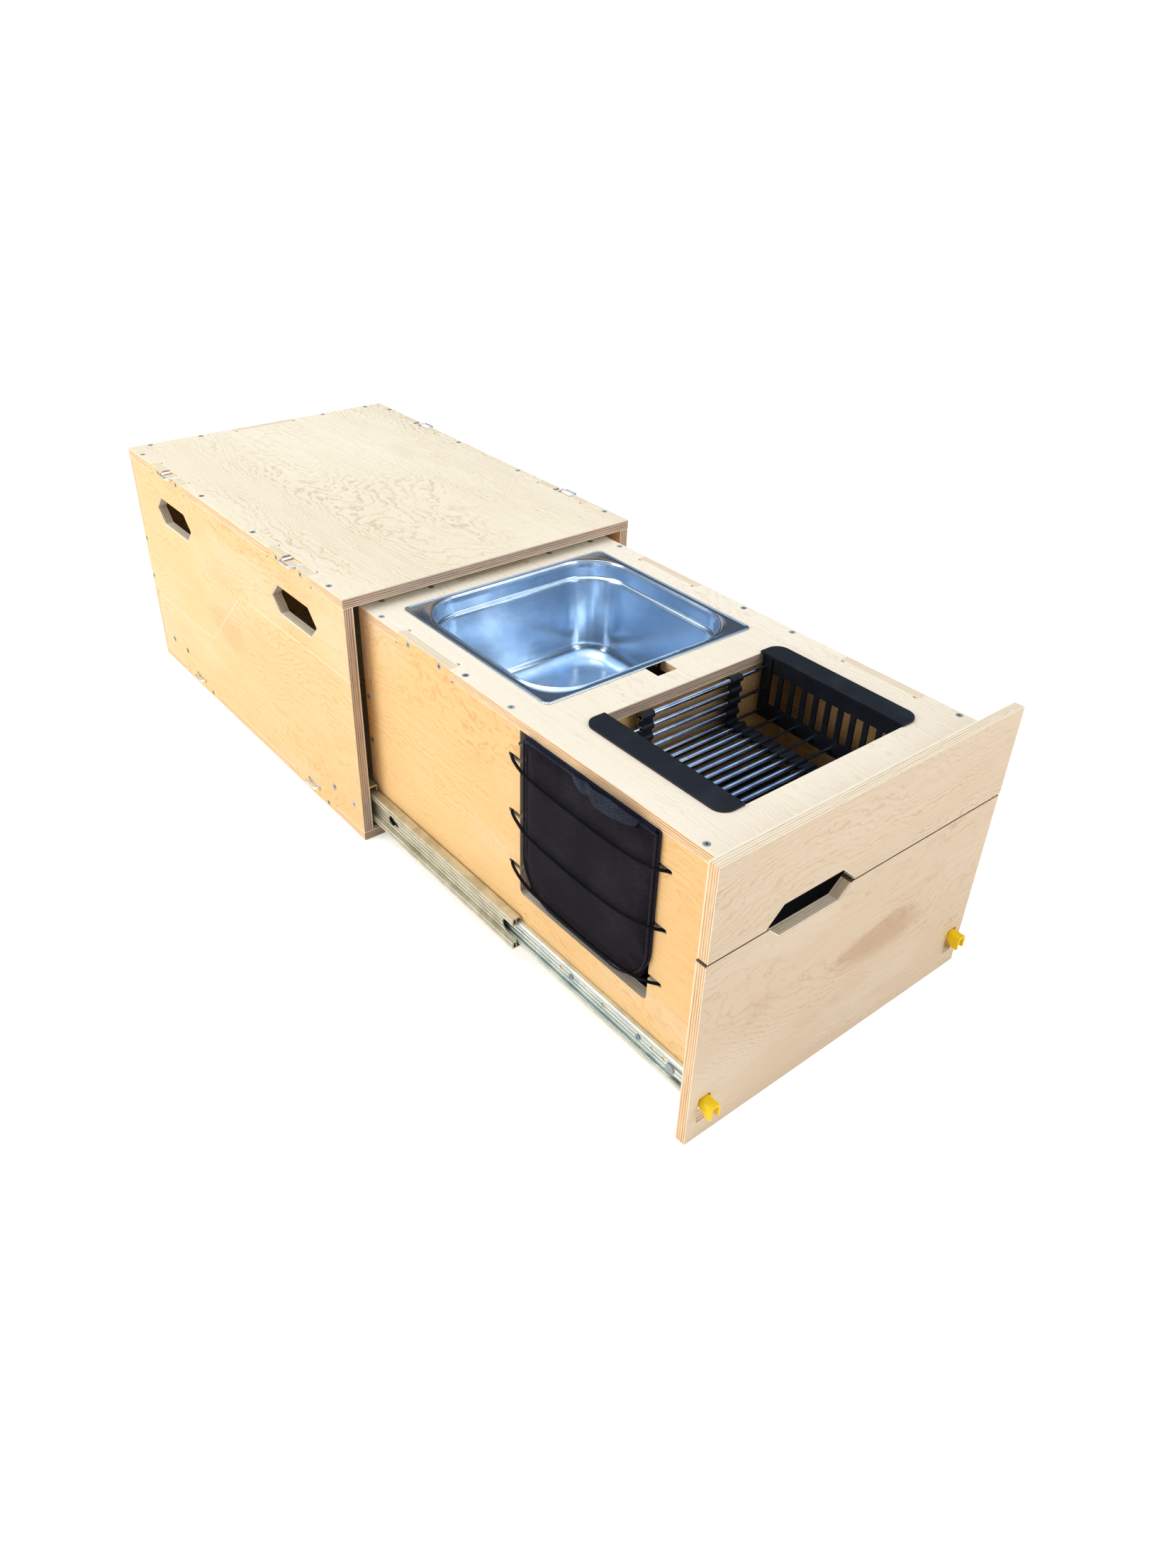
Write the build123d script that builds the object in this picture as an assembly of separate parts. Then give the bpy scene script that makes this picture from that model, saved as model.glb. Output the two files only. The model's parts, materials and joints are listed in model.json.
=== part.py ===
from build123d import *
from dataclasses import dataclass
import math
import os

# A camping kitchen box. A plywood carcass lies on the ground or in a car boot, and a plywood
# drawer with a sink tray, a draining basket and a utensil bag runs out of its front on two
# three-part telescopic slides. X runs to the right, Y to the back and Z up, in millimetres.
# The origin is the centre of the carcass's underside. The drawer is drawn fully out.

# ---- carcass ----
box_width = 510.0
box_length = 762.0
box_height = 406.0
ply = 15.0

# ---- drawer, hung between the slides ----
slide_gap = 19.0            # carcass side to drawer side, filled by a slide
floor_gap = 8.0             # carcass bottom panel to drawer bottom panel
head_gap = 9.5              # drawer top panel to carcass top panel
shut_gap = 0.5              # front panels to carcass edge when shut
rear_gap = 23.0             # behind the shut drawer
drawer_tab_back = 165.0     # drawer back to its rear tabs
drawer_tab_front = 159.5    # drawer front to its front tabs
drawer_flank = 154.0        # drawer tab centre to the edge screws on the right
drawer_left_screw = 87.0    # rear left tab centre to the edge screw before it
drawer_front_screw = 42.0   # drawer front to the last edge screw
window_screw = 28.0         # window to the edge screws beside it

# ---- plywood joints: tabs in notches, with round reliefs for the router bit ----
tab_length = 125.0
tab_fit = 0.2
relief_radius = 3.2
notch_relief = 4.7          # relief centre inside the end of a notch
tab_relief = 4.5            # relief centre outside the end of a tab
tab_screw = 37.0            # tab centre to each of its two screws
carcass_tab_front = 158.0   # front edge to the first top tab
carcass_tab_back = 168.0    # back edge to the second top tab
under_tab_shift = -7.0      # bottom tabs, against the top ones
edge_screw = 49.5           # corner to the first edge screw
flank_screw = 126.0         # carcass tab centre to the edge screw beside it
back_screws = (123.5, 217.0)
back_screw_rise = 120.0     # mid-height to the screws that hold the back panel

# ---- countersunk wood screws ----
head_radius = 4.6
head_depth = 3.0
shank_radius = 2.0
screw_length = 40.0
drive_radius = 2.3
drive_depth = 2.0
bore_play = 0.05

# ---- carcass sides: hand-holes and the V line ----
hand_reach = 69.5           # half the length of a hand-hole, point to point
hand_flat = 48.0            # half the length of its straight edges
hand_rise = 23.0            # half its height
hand_drop = 78.5            # box top to hand-hole centre
hand_shift = -0.5           # hand-hole centre against the top tab above it
hand_bevel = 1.2
line_width = 2.0
line_depth = 1.2
line_low = 133.0            # height of the V line at the back
line_turn_back = 257.0      # box back to its lower turn
line_turn_front = 354.0     # box front to its upper turn
line_rise = 4.0             # rise of its rear stretch
line_turn_drop = 5.0        # split to its upper turn
line_end_drop = 1.0         # split to its front end

# ---- lashing loops ----
loop_wire = 4.0
loop_length = 36.0
loop_reach = 9.0            # how far a loop stands out of the side
loop_bend = 5.0
loop_shift = -3.0           # upper loops against the tab centre
loop_notch = 44.0
loop_notch_depth = 5.0
loop_low = 19.0             # height of the lower loops
loop_low_shift = 8.5        # lower loops against the bottom tab centre
loop_pocket = 9.0           # height of the routed pocket behind a lower loop
loop_pocket_play = 3.0      # pocket beyond each end of a lower loop
loop_upper_grip = 12.0      # how far upper legs reach past the side's inner face
loop_lower_stop = 2.0       # wood left beyond the lower legs
leg_play = 0.2              # hole beyond the end of a leg

# ---- telescopic slides, by u (carcass side to drawer side) and height about their centre ----
slide_foot = 0.5            # carcass bottom panel to slide
outer_half = 38.0
outer_wall = 2.5
outer_depth = 15.5
outer_lip = 28.0
middle_half = 25.7
middle_wall = 1.5
middle_back = 4.0           # u of the middle member's outer rails
middle_web = 9.0
middle_front = 17.5
middle_lip = 20.0
rail_height = 10.7
inner_half = 19.0
inner_wall = 1.7
inner_back = 12.0
inner_lip = 12.5
slide_inset = 3.0           # carcass front edge to the outer member
slide_back_gap = 33.0       # outer member to the carcass back panel
travel_loss = 7.0           # outer member's length, less how far the drawer runs out
middle_lead = 11.0          # how far the middle member runs beyond half the travel
inner_back_gap = 10.5       # inner member to the drawer's back edge
inner_front = 24.0          # front panels to the inner member
ball_outer = 8.6
ball_inner = 4.4
ball_count = 7
ball_pitch = 24.0
cage_wall = 0.8
cage_play = 0.3            # ball to its hole, and cage to the walls beside it
bolt_radius = 3.0
bolt_head = 6.0
bolt_front = (23.0, 83.0)   # outer member's front end to its front bolts
bolt_back = (68.0, 8.0)     # outer member's rear end to its rear bolts
bolt_drive = 2.3
bolt_drive_depth = 2.5
bolt_hole = 30.0
nut_height = 4.0
nut_radius = 5.5
keyhole_spot = 315.0        # middle member's front end to its keyhole
keyhole_radius = 8.0
keyhole_reach = 15.0
keyhole_slot = 4.0
web_notch = 30.0
web_notch_radius = 11.0
outer_cage_front = 20.0     # outer member's front end to its ball cage
inner_cage_front = 12.0     # middle member's front end to its ball cage
inner_screw_front = (83.0, 212.0, 340.0, 470.0)   # inner member's front end to its front screws
inner_screw_back = (90.0, 20.0)                   # inner member's rear end to its rear screws
inner_holes = (38.0, 58.0, 149.0, 233.0)
inner_hole_radius = 3.2
pan_radius = 4.0
pan_height = 2.0
pan_shank = 12.0
pan_drive = 1.8
small_drive_depth = 1.2
pilot_depth = 11.0

# ---- front panels ----
split_drop = 126.0          # box top to the split between the panels
split_gap = 2.0
front_foot = 1.0            # ground to the lower front panel
lower_shift = -1.5          # the lower panel hangs a little further left
grip_centre = -96.5
grip_reach = 71.0
grip_flat = 48.0
grip_rise = 21.5
lever_notch_in = 1.0        # notch beyond the carcass side's inner face
lever_notch_width = 19.0
lever_notch_top = 14.5      # above the slide's centre
lever_notch_bottom = -27.0
angle_leg = 30.0
angle_wall = 2.5
angle_low = 75.0            # height of the lowest angle brackets
angle_under_split = 40.0
angle_drop = 51.5           # drawer top to the highest angle brackets
angle_screw_rise = 9.0      # bracket's middle to each of its screws
angle_screw_in = 20.0
small_shank = 1.6
small_head = 3.2
small_length = 13.0
grip_lift = 2.5             # split to the middle of the grip hole
notch_corner = 2.5

# ---- release levers ----
pivot_back = 47.0           # front panels' back face to the lever pivot
lever_wall = 2.0
lever_u = 14.0
lever_half = 6.0
lever_tail = 8.0
rivet_radius = 7.0
pin_radius = 3.0
cap_width = 16.0
cap_u = 1.0
cap_top = 13.0
cap_low_back = 1.0          # lower edge where the cap meets the panel
cap_low_front = -7.0
cap_reach = 18.0            # beyond the front face
cap_wall = 3.5
cap_bend = 5.0

# ---- drawer top: sink tray, finger slot and basket ----
tray_x = 354.0
tray_y = 325.0
tray_back = 46.0            # drawer back to tray
tray_centre = -1.5
tray_depth = 150.0
tray_rise = 2.0
tray_sheet = 0.8
tray_corner = 8.0
bowl_x = 330.0
bowl_y = 304.0
bowl_corner = 66.0
bowl_step_depth = 25.0
bowl_step = 4.0
bowl_taper = 11.0
bowl_fillet = 18.0
tray_hole_play = 3.0
slot_half = 17.0
slot_centre = -2.0
slot_reach = 24.0           # tray to the end of the finger slot
basket_gap = 33.0           # finger slot to the basket's cut-out
basket_front_gap = 66.5     # drawer front to the basket's cut-out
basket_hole_half = 150.0
basket_hole_corner = 4.0
flange_in = 134.0
flange_out = 168.0
flange_thick = 3.0
flange_corner = 18.0
wall_x = 141.0
wall_thick = 2.5
basket_depth = 93.0
side_slots = 10
slot_bar = 8.0
slot_top = 24.0
slot_bottom = 72.0
return_length = 16.0
tube_radius = 4.0
tube_bore = 3.1
rod_radius = 2.5
floor_tubes = 15
wall_tubes = 4
wall_tube_pitch = 16.3
floor_level = 84.0          # drawer top to the floor rods
tube_left = -83.0
tube_right = 91.0
coupler_length = 20.0
coupler_radius = 5.6
coupler_link = 3.2
rod_margin = 7.2            # cut-out edge to the first rod
frame_play = 1.5            # cut-out edge to an end frame
flange_lap = 1.0            # flange beyond the cut-out
rail_out = 1.5              # wall face beyond wall_x
rod_seat = 0.6              # wall left beyond a rod's end
rail_back = 3.0             # wall_x to the frame's inner face
rod_reach = 30.0            # how far each rod runs past the middle

# ---- utensil bag, its window and cords ----
window_back = 376.0         # drawer back to the window
window_front = 101.5        # window to the drawer's front edge
window_sill = 117.0
window_corner = 8.0
window_relief = 35.5        # drawer top to the round reliefs in the window's upright edges
cord_radius = 2.0
cord_top_drop = 59.5        # drawer top to the top cord
cord_low_lift = 40.5        # window sill to the bottom cord
cord_step = 81.5            # bottom cord to the middle one
cord_sags = (1.0, 8.0, 4.0)
cord_slot = 23.0
cord_slot_half = 3.2
cord_lift = 0.3
cord_drop = 0.7             # the far end of each cord, against the near end
bag_proud = 11.0
bag_depth = 62.0
bag_play = 1.5
bag_lap_back = 22.0
bag_lap_front = 8.0
bag_corner = 45.0
bag_top_drop = 15.5
bag_lap_lift = 12.0         # bag's foot to the foot of its lap
bag_foot_round = 4.0        # more than the window's corners
bag_edge_round = 4.0
handle_shift = 48.0         # window centre to the handle
handle_corner = 12.0
cord_out = 1.5              # side face to the cord's near bend
cord_far_out = 3.5
cord_near_lap = 3.0
cord_far_lap = 2.0
cord_lie = 0.4
cord_steps = 6
knot_radius = 6.0
handle_length = 96.0
handle_thick = 2.5
handle_drop = 26.0

# ---- inside the drawer ----
divider_back = 405.0
divider_screw = 120.0
case_front = 14.0
case_back_gap = 20.5        # case to the divider
case_half = 150.0
case_shift = 8.0
case_height = 178.0
case_wall = 3.0
case_corner = 12.0
case_lid_round = 5.0
case_split = 0.62           # the base's share of the case's height

# ---- worked out from the sizes above ----
box_half = box_width / 2
box_in = box_half - ply
box_front = -box_length / 2
box_back = box_length / 2
drawer_half = box_in - slide_gap
drawer_in = drawer_half - ply
drawer_low = ply + floor_gap
drawer_high = box_height - ply - head_gap
slide_length = box_length - slide_inset - ply - slide_back_gap
travel = slide_length - travel_loss
middle_travel = travel / 2 + middle_lead
drawer_back = box_back - ply - rear_gap - travel
panel_back = box_front - travel - shut_gap
panel_front = panel_back - ply
drawer_length = drawer_back - panel_back
inner_length = drawer_length - inner_front - inner_back_gap
slide_z = ply + slide_foot + outer_half
split_height = box_height - split_drop
angle_spots = (angle_low, split_height - angle_under_split, drawer_high - angle_drop)
pivot_y = panel_back + pivot_back
window_y = (panel_back + window_front, drawer_back - window_back)
cord_low = window_sill + cord_low_lift
cord_levels = (drawer_high - cord_top_drop, cord_low + cord_step, cord_low)
tray_y_back = drawer_back - tray_back
tray_mid = tray_y_back - tray_y / 2
slot_end = tray_y_back - tray_y - slot_reach
basket_back = slot_end - basket_gap
basket_front = panel_back + basket_front_gap
basket_y = basket_back - basket_front
basket_mid = (basket_back + basket_front) / 2


def block(x, y, z):
    """Return a box between its limits along X, Y and Z."""
    size = [abs(b - a) for a, b in (x, y, z)]
    centre = [(a + b) / 2 for a, b in (x, y, z)]
    return Pos(*centre) * Box(*size)


def span(centre, half):
    """Return the limits that lie a half width either side of a centre."""
    return centre - half, centre + half


def bar(start, end, radius):
    """Return a round bar between two points."""
    start, end = Vector(*start), Vector(*end)
    plane = Plane(origin=start, z_dir=end - start)
    return plane * Cylinder(radius, (end - start).length, align=(Align.CENTER, Align.CENTER, Align.MIN))


def pipe(start, end, radius, bore):
    """Return a round tube between two points."""
    return bar(start, end, radius) - bar(start, end, bore)


def prism(points, axis, low, high):
    """Return a straight prism on an outline given in the plane across an axis."""
    places = {"x": lambda a, b: (low, a, b), "y": lambda a, b: (a, low, b), "z": lambda a, b: (a, b, low)}
    outline = Polyline(*[places[axis](a, b) for a, b in points], close=True)
    way = {"x": (1, 0, 0), "y": (0, 1, 0), "z": (0, 0, 1)}[axis]
    return extrude(make_face(outline), amount=high - low, dir=way)


def save(name, *solids):
    """Write the solids of one named piece to its own file."""
    whole = solids[0] if len(solids) == 1 else Compound(children=list(solids))
    whole.label = name
    export_step(whole, "parts/" + name + ".step")


# ---- fasteners ----
def lobed_recess(radius, depth):
    """Return the six-lobed recess of a screw drive, opening at the origin."""
    points = []
    for step in range(12):
        reach = radius if step % 2 == 0 else 0.72 * radius
        angle = math.pi * step / 6
        points.append((reach * math.cos(angle), reach * math.sin(angle)))
    return prism(points, "z", 0.0, depth)


def countersunk(radius, head, length, play=0.0, mouth=0.0):
    """Return a countersunk screw from its face at the origin down along +Z."""
    low = (Align.CENTER, Align.CENTER, Align.MIN)
    body = Cone(head + play, radius + play, head_depth, align=low)
    body += Pos(0, 0, head_depth) * Cylinder(radius + play, length - head_depth + play, align=low)
    if mouth:
        body += Pos(0, 0, -mouth) * Cylinder(head + play, mouth, align=low)
    return body


wood_screw = countersunk(shank_radius, head_radius, screw_length) - lobed_recess(drive_radius, drive_depth)
wood_bore = countersunk(shank_radius, head_radius, screw_length, bore_play, mouth=1.0)


def place(piece, spots):
    """Return copies of a piece at spots that are (point, way)."""
    return [Plane(origin=point, z_dir=way) * piece for point, way in spots]


# ---- plywood cases ----
@dataclass
class Case:
    """A plywood case open at the front: its limits, and its tabs and screws along Y."""
    half: float
    front: float
    back: float
    low: float
    high: float
    tabs: dict
    edges: dict

    @property
    def mid(self):
        """Return the mid-height, where the rear tabs are."""
        return (self.low + self.high) / 2

    def sheet(self, level):
        """Return the height limits of the top or bottom panel."""
        return (self.high - ply, self.high) if level == "top" else (self.low, self.low + ply)

    def screws(self):
        """List every screw of the case as (point, way)."""
        spots = []
        edge = self.half - ply / 2
        behind = self.back - ply / 2
        for level, face, way in (("top", self.high, -1), ("bottom", self.low, 1)):
            z = sum(self.sheet(level)) / 2
            for side in (-1, 1):
                spots += [((side * edge, y, face), (0, 0, way)) for y in self.edges[side]]
                for tab in self.tabs[side, level]:
                    for y in span(tab, tab_screw):
                        spots.append(((side * self.half, y, z), (-side, 0, 0)))
                for x in back_screws:
                    spots.append(((side * x * self.half / box_half, behind, face), (0, 0, way)))
                spots.append(((side * tab_screw, self.back, z), (0, -1, 0)))
        for side in (-1, 1):
            for z in span(self.mid, tab_screw):
                spots.append(((side * self.half, behind, z), (-side, 0, 0)))
            for z in span(self.mid, back_screw_rise):
                spots.append(((side * edge, self.back, z), (0, -1, 0)))
        return spots

    def bores(self):
        """Return the holes of all its screws."""
        return place(wood_bore, self.screws())

    def flat_panel(self, level):
        """Return the top or bottom panel, notched for the tabs of the sides and the back."""
        z = self.sheet(level)
        cuts = []
        for side in (-1, 1):
            inner = side * (self.half - ply)
            for tab in self.tabs[side, level]:
                cuts.append(block((inner, side * (self.half + 1)), span(tab, tab_length / 2), z))
                for y in span(tab, tab_length / 2 - notch_relief):
                    cuts.append(bar((inner, y, z[0]), (inner, y, z[1]), relief_radius))
            x = side * (tab_length / 2 - notch_relief)
            cuts.append(bar((x, self.back - ply, z[0]), (x, self.back - ply, z[1]), relief_radius))
        cuts.append(block(span(0, tab_length / 2), (self.back - ply, self.back + 1), z))
        panel = block(span(0, self.half), (self.front, self.back), z)
        return panel - cuts - self.bores()

    def side_panel(self, side):
        """Return one side panel with its tabs."""
        x = (side * (self.half - ply), side * self.half)
        shoulder = (self.low + ply, self.high - ply)
        half_tab = tab_length / 2 - tab_fit
        panel = block(x, (self.front, self.back - ply), shoulder)
        cuts = []
        for level, z in (("top", (shoulder[1], self.high)), ("bottom", (self.low, shoulder[0]))):
            level_z = shoulder[1] if level == "top" else shoulder[0]
            for tab in self.tabs[side, level]:
                panel += block(x, span(tab, half_tab), z)
                for y in span(tab, tab_length / 2 + tab_relief):
                    cuts.append(bar((x[0], y, level_z), (x[1], y, level_z), relief_radius))
        panel += block(x, (self.back - ply, self.back), span(self.mid, half_tab))
        for z in span(self.mid, tab_length / 2 + tab_relief):
            cuts.append(bar((x[0], self.back - ply, z), (x[1], self.back - ply, z), relief_radius))
        return panel - cuts - self.bores()

    def back_panel(self):
        """Return the back panel with its tabs up and down and its side notches."""
        y = (self.back - ply, self.back)
        panel = block(span(0, self.half), y, (self.low + ply, self.high - ply))
        panel += block(span(0, tab_length / 2 - tab_fit), y, (self.low, self.high))
        cuts = []
        for side in (-1, 1):
            inner = side * (self.half - ply)
            cuts.append(block((inner, side * (self.half + 1)), y, span(self.mid, tab_length / 2)))
            for z in span(self.mid, tab_length / 2 - notch_relief):
                cuts.append(bar((inner, y[0], z), (inner, y[1], z), relief_radius))
            for z in (self.low + ply, self.high - ply):
                x = side * (tab_length / 2 + tab_relief)
                cuts.append(bar((x, y[0], z), (x, y[1], z), relief_radius))
        return panel - cuts - self.bores()


def carcass_case():
    """Return the carcass's limits, tabs and edge screws."""
    top = (box_front + carcass_tab_front, box_back - carcass_tab_back)
    bottom = tuple(y + under_tab_shift for y in top)
    edges = (box_front + edge_screw, top[0] + flank_screw, top[1] - flank_screw, box_back - edge_screw)
    tabs = {(side, level): row for side in (-1, 1) for level, row in (("top", top), ("bottom", bottom))}
    return Case(box_half, box_front, box_back, 0.0, box_height, tabs, {-1: edges, 1: edges})


def drawer_case():
    """Return the drawer's limits, tabs and edge screws. The window takes the front left top tab."""
    rear, fore = drawer_back - drawer_tab_back, panel_back + drawer_tab_front
    tabs = {(-1, "top"): (rear,), (1, "top"): (rear, fore)}
    tabs.update({(side, "bottom"): (rear, fore) for side in (-1, 1)})
    start, last = drawer_back - edge_screw, panel_back + drawer_front_screw
    left = (start, rear - drawer_left_screw, window_y[1] + window_screw, last)
    right = (start, rear - drawer_flank, fore + drawer_flank, last)
    return Case(drawer_half, panel_back, drawer_back, drawer_low, drawer_high, tabs, {-1: left, 1: right})


carcass = carcass_case()
drawer = drawer_case()


def hexagon_hole(centre, reach, flat, rise, axis, low, high, bevel):
    """Return the cutter of a six-sided hand-hole, bevelled where it opens at the high end."""
    def outline(grow):
        a, b, c = reach + grow, flat + grow / 2, rise + grow
        shape = ((-a, 0), (-b, c), (b, c), (a, 0), (b, -c), (-b, -c))
        return [(centre[0] + p, centre[1] + q) for p, q in shape]
    step = math.copysign(bevel, high - low)
    hole = prism(outline(0.0), axis, low, high + step)
    return hole + prism(outline(bevel), axis, high - step, high + step)


def wall_bevel(centre, side):
    """Return the cutter of one hand-hole in a carcass side."""
    return hexagon_hole(centre, hand_reach, hand_flat, hand_rise, "x",
                        side * (box_in - 1), side * box_half, hand_bevel)


def v_line(side):
    """Return the cutter of the V line routed into a carcass side."""
    turns = ((box_back + 1, line_low), (box_back - line_turn_back, line_low + line_rise),
             (box_front + line_turn_front, split_height - line_turn_drop),
             (box_front - 1, split_height - line_end_drop))
    x = (side * (box_half - line_depth), side * (box_half + 1))
    cuts = []
    for (y0, z0), (y1, z1) in zip(turns, turns[1:]):
        length = math.hypot(y1 - y0, z1 - z0)
        angle = math.degrees(math.atan2(z1 - z0, y1 - y0))
        run = Box(abs(x[1] - x[0]), length, line_width)
        cuts.append(Pos(sum(x) / 2, (y0 + y1) / 2, (z0 + z1) / 2) * Rot(angle, 0, 0) * run)
        cuts.append(bar((x[0], y0, z0), (x[1], y0, z0), line_width / 2))
    return cuts


def loop_spots():
    """List the middle of each lashing loop along Y and Z, upper ones first."""
    upper = [(tab + loop_shift, box_height - loop_notch_depth / 2) for tab in carcass.tabs[1, "top"]]
    lower = [(tab + loop_low_shift, loop_low) for tab in carcass.tabs[1, "bottom"]]
    return upper, lower


def lashing_loop(side, y, z, root):
    """Return one wire loop whose two legs run into the wood as far as a root plane."""
    reach = side * (box_half + loop_reach - loop_wire / 2)
    y0, y1 = span(y, (loop_length - loop_wire) / 2)
    points = [(side * root, y0, z), (reach, y0, z), (reach, y1, z), (side * root, y1, z)]
    path = FilletPolyline(*points, radius=loop_bend)
    return sweep(Plane(origin=path @ 0, z_dir=path % 0) * Circle(loop_wire / 2), path=path)


loop_upper_root = box_in - loop_upper_grip
loop_lower_root = box_in + loop_lower_stop


def loop_cuts(side):
    """Return the notches, pockets and leg holes that the lashing loops of one side need."""
    upper, lower = loop_spots()
    hole = loop_wire / 2 + bore_play
    reach = (loop_length - loop_wire) / 2
    cuts = []
    for y, z in upper:
        notch_z = (box_height - loop_notch_depth, box_height + 1)
        cuts.append(block((side * box_in, side * (box_half + 1)), span(y, loop_notch / 2), notch_z))
    for y, z in lower:
        x = (side * (box_half - loop_wire), side * (box_half + 1))
        cuts.append(block(x, span(y, loop_length / 2 + loop_pocket_play), span(z, loop_pocket / 2)))
    for row, root in ((upper, loop_upper_root), (lower, loop_lower_root)):
        for y, z in row:
            for leg in span(y, reach):
                cuts.append(bar((side * (root - leg_play), leg, z), (side * box_half, leg, z), hole))
    return cuts


def lashing_loops(side):
    """Return the four lashing loops of one side."""
    upper, lower = loop_spots()
    rows = [(spot, loop_upper_root) for spot in upper] + [(spot, loop_lower_root) for spot in lower]
    return [lashing_loop(side, y, z, root) for (y, z), root in rows]


# ---- slides, drawn on the left and mirrored ----
def in_slide(u, y, v):
    """Return a block given by u from the carcass side, Y, and height about the slide's centre."""
    return block([-box_in + a for a in u], y, [slide_z + b for b in v])


def slide_point(u, y, v):
    """Return the point at u from the carcass side and v above the slide's centre."""
    return (-box_in + u, y, slide_z + v)


def slide_bar(u0, u1, y, v, radius):
    """Return a round bar across the slide, from u0 to u1."""
    return bar(slide_point(u0, y, v), slide_point(u1, y, v), radius)


def channel(back, mouth, half, wall, lip, y, opens):
    """Return a lipped channel from u back to u mouth. It opens towards the carcass at -1, or away at 1."""
    corner = 0.8 * wall
    low, high = min(back, mouth), max(back, mouth)
    section = Pos((low + high) / 2 - box_in, slide_z) * RectangleRounded(high - low, 2 * half, corner)
    solid = extrude(Plane.XZ.offset(-y[0]) * section, amount=-(y[1] - y[0]))
    solid -= in_slide((low + wall, high - wall), (y[0] - 1, y[1] + 1), span(0, half - wall))
    mouth_u = (high - wall - 0.5, high + 1) if opens > 0 else (low - 1, low + wall + 0.5)
    return solid - in_slide(mouth_u, (y[0] - 1, y[1] + 1), span(0, lip))


outer_y = (box_front + slide_inset, box_front + slide_inset + slide_length)
middle_y = (outer_y[0] - middle_travel, outer_y[1] - middle_travel)
inner_y = (panel_back + inner_front, panel_back + inner_front + inner_length)
bolt_y = [outer_y[0] + spot for spot in bolt_front] + [outer_y[1] - spot for spot in bolt_back]
inner_screw_y = [inner_y[0] + spot for spot in inner_screw_front]
inner_screw_y += [inner_y[1] - spot for spot in inner_screw_back]
inner_hole_y = [inner_y[0] + spot for spot in inner_holes]


def slide_outer():
    """Return the outer member, bolted to the carcass side."""
    solid = channel(0.0, outer_depth, outer_half, outer_wall, outer_lip, outer_y, 1)
    return solid - [slide_bar(-1, outer_wall + 1, y, 0, bolt_radius + bore_play) for y in bolt_y]


def slide_middle():
    """Return the middle member: a channel for the inner balls on two box rails for the outer ones."""
    solid = channel(middle_web, middle_front, middle_half, middle_wall, middle_lip, middle_y, 1)
    for sign in (-1, 1):
        outside = sorted((sign * middle_half, sign * (middle_half - rail_height)))
        inside = (outside[0] + middle_wall, outside[1] - middle_wall)
        rail = in_slide((middle_back, middle_web + 0.2), middle_y, outside)
        end = (middle_y[0] - 1, middle_y[1] + 1)
        solid += rail - in_slide((middle_back + middle_wall, middle_web), end, inside)
    keyhole = middle_y[0] + keyhole_spot
    web = (middle_web - 1, middle_web + middle_wall + 1)
    cuts = [slide_bar(*web, keyhole, 0, keyhole_radius)]
    cuts.append(slide_bar(*web, keyhole - keyhole_reach, 0, keyhole_slot))
    cuts.append(in_slide(web, (keyhole - keyhole_reach, keyhole), span(0, keyhole_slot)))
    notch_y = middle_y[0] + web_notch - web_notch_radius
    cuts.append(slide_bar(*web, notch_y, 0, web_notch_radius))
    cuts.append(in_slide(web, (middle_y[0] - 1, notch_y), span(0, web_notch_radius)))
    return solid - cuts


def slide_inner():
    """Return the inner member, screwed to the drawer side."""
    solid = channel(inner_back, slide_gap, inner_half, inner_wall, inner_lip, inner_y, -1)
    web = (slide_gap - inner_wall - 1, slide_gap + 1)
    cuts = [slide_bar(*web, y, 0, inner_hole_radius) for y in inner_hole_y]
    cuts += [slide_bar(*web, y, 0, shank_radius + bore_play) for y in inner_screw_y]
    cuts.append(slide_bar(*web, pivot_y, 0, pin_radius + bore_play))
    return solid - cuts


outer_race = (outer_half - outer_wall + middle_half) / 2
inner_race = (middle_half - middle_wall + inner_half) / 2
outer_ball_u = outer_depth / 2          # midway between the outer member's web and lip
inner_ball_u = (middle_web + middle_front) / 2   # midway between the middle member's web and lip
outer_cage_reach = outer_depth / 2 - outer_wall - cage_play
inner_cage_reach = (middle_front - middle_web) / 2 - middle_wall - cage_play / 2
cage_length = ball_pitch * ball_count
outer_cage_y = (outer_y[0] + outer_cage_front, outer_y[0] + outer_cage_front + cage_length)
inner_cage_y = (middle_y[0] + inner_cage_front, middle_y[0] + inner_cage_front + cage_length)


def race_balls(u, race, cage_y, diameter, grow=0.0):
    """Return the balls of both races of one cage."""
    rows = [cage_y[0] + ball_pitch * (step + 0.5) for step in range(ball_count)]
    ball = Sphere(diameter / 2 + grow)
    return [Pos(*slide_point(u, y, sign * race)) * ball for sign in (-1, 1) for y in rows]


def race_cage(u, race, cage_y, diameter, reach):
    """Return the two strips that keep one set of balls apart."""
    strips = [in_slide(span(u, reach), cage_y, span(sign * race, cage_wall / 2)) for sign in (-1, 1)]
    balls = race_balls(u, race, cage_y, diameter, cage_play / 2)
    return [strips[0] - balls[:ball_count], strips[1] - balls[ball_count:]]


def slide_bolts():
    """Return the countersunk bolts of the left outer member."""
    bolt = countersunk(bolt_radius, bolt_head, ply + outer_wall + nut_height)
    bolt -= Pos(0, 0, -0.1) * extrude(RegularPolygon(bolt_drive, 6), amount=bolt_drive_depth + 0.1)
    return place(bolt, [((-box_half, y, slide_z), (1, 0, 0)) for y in bolt_y])


def slide_nuts():
    """Return the low nuts inside the left outer member."""
    nut = extrude(RegularPolygon(nut_radius, 6), amount=nut_height)
    nut -= Cylinder(bolt_radius + bore_play, 3 * nut_height)
    return place(nut, [(slide_point(outer_wall, y, 0), (1, 0, 0)) for y in bolt_y])


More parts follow.
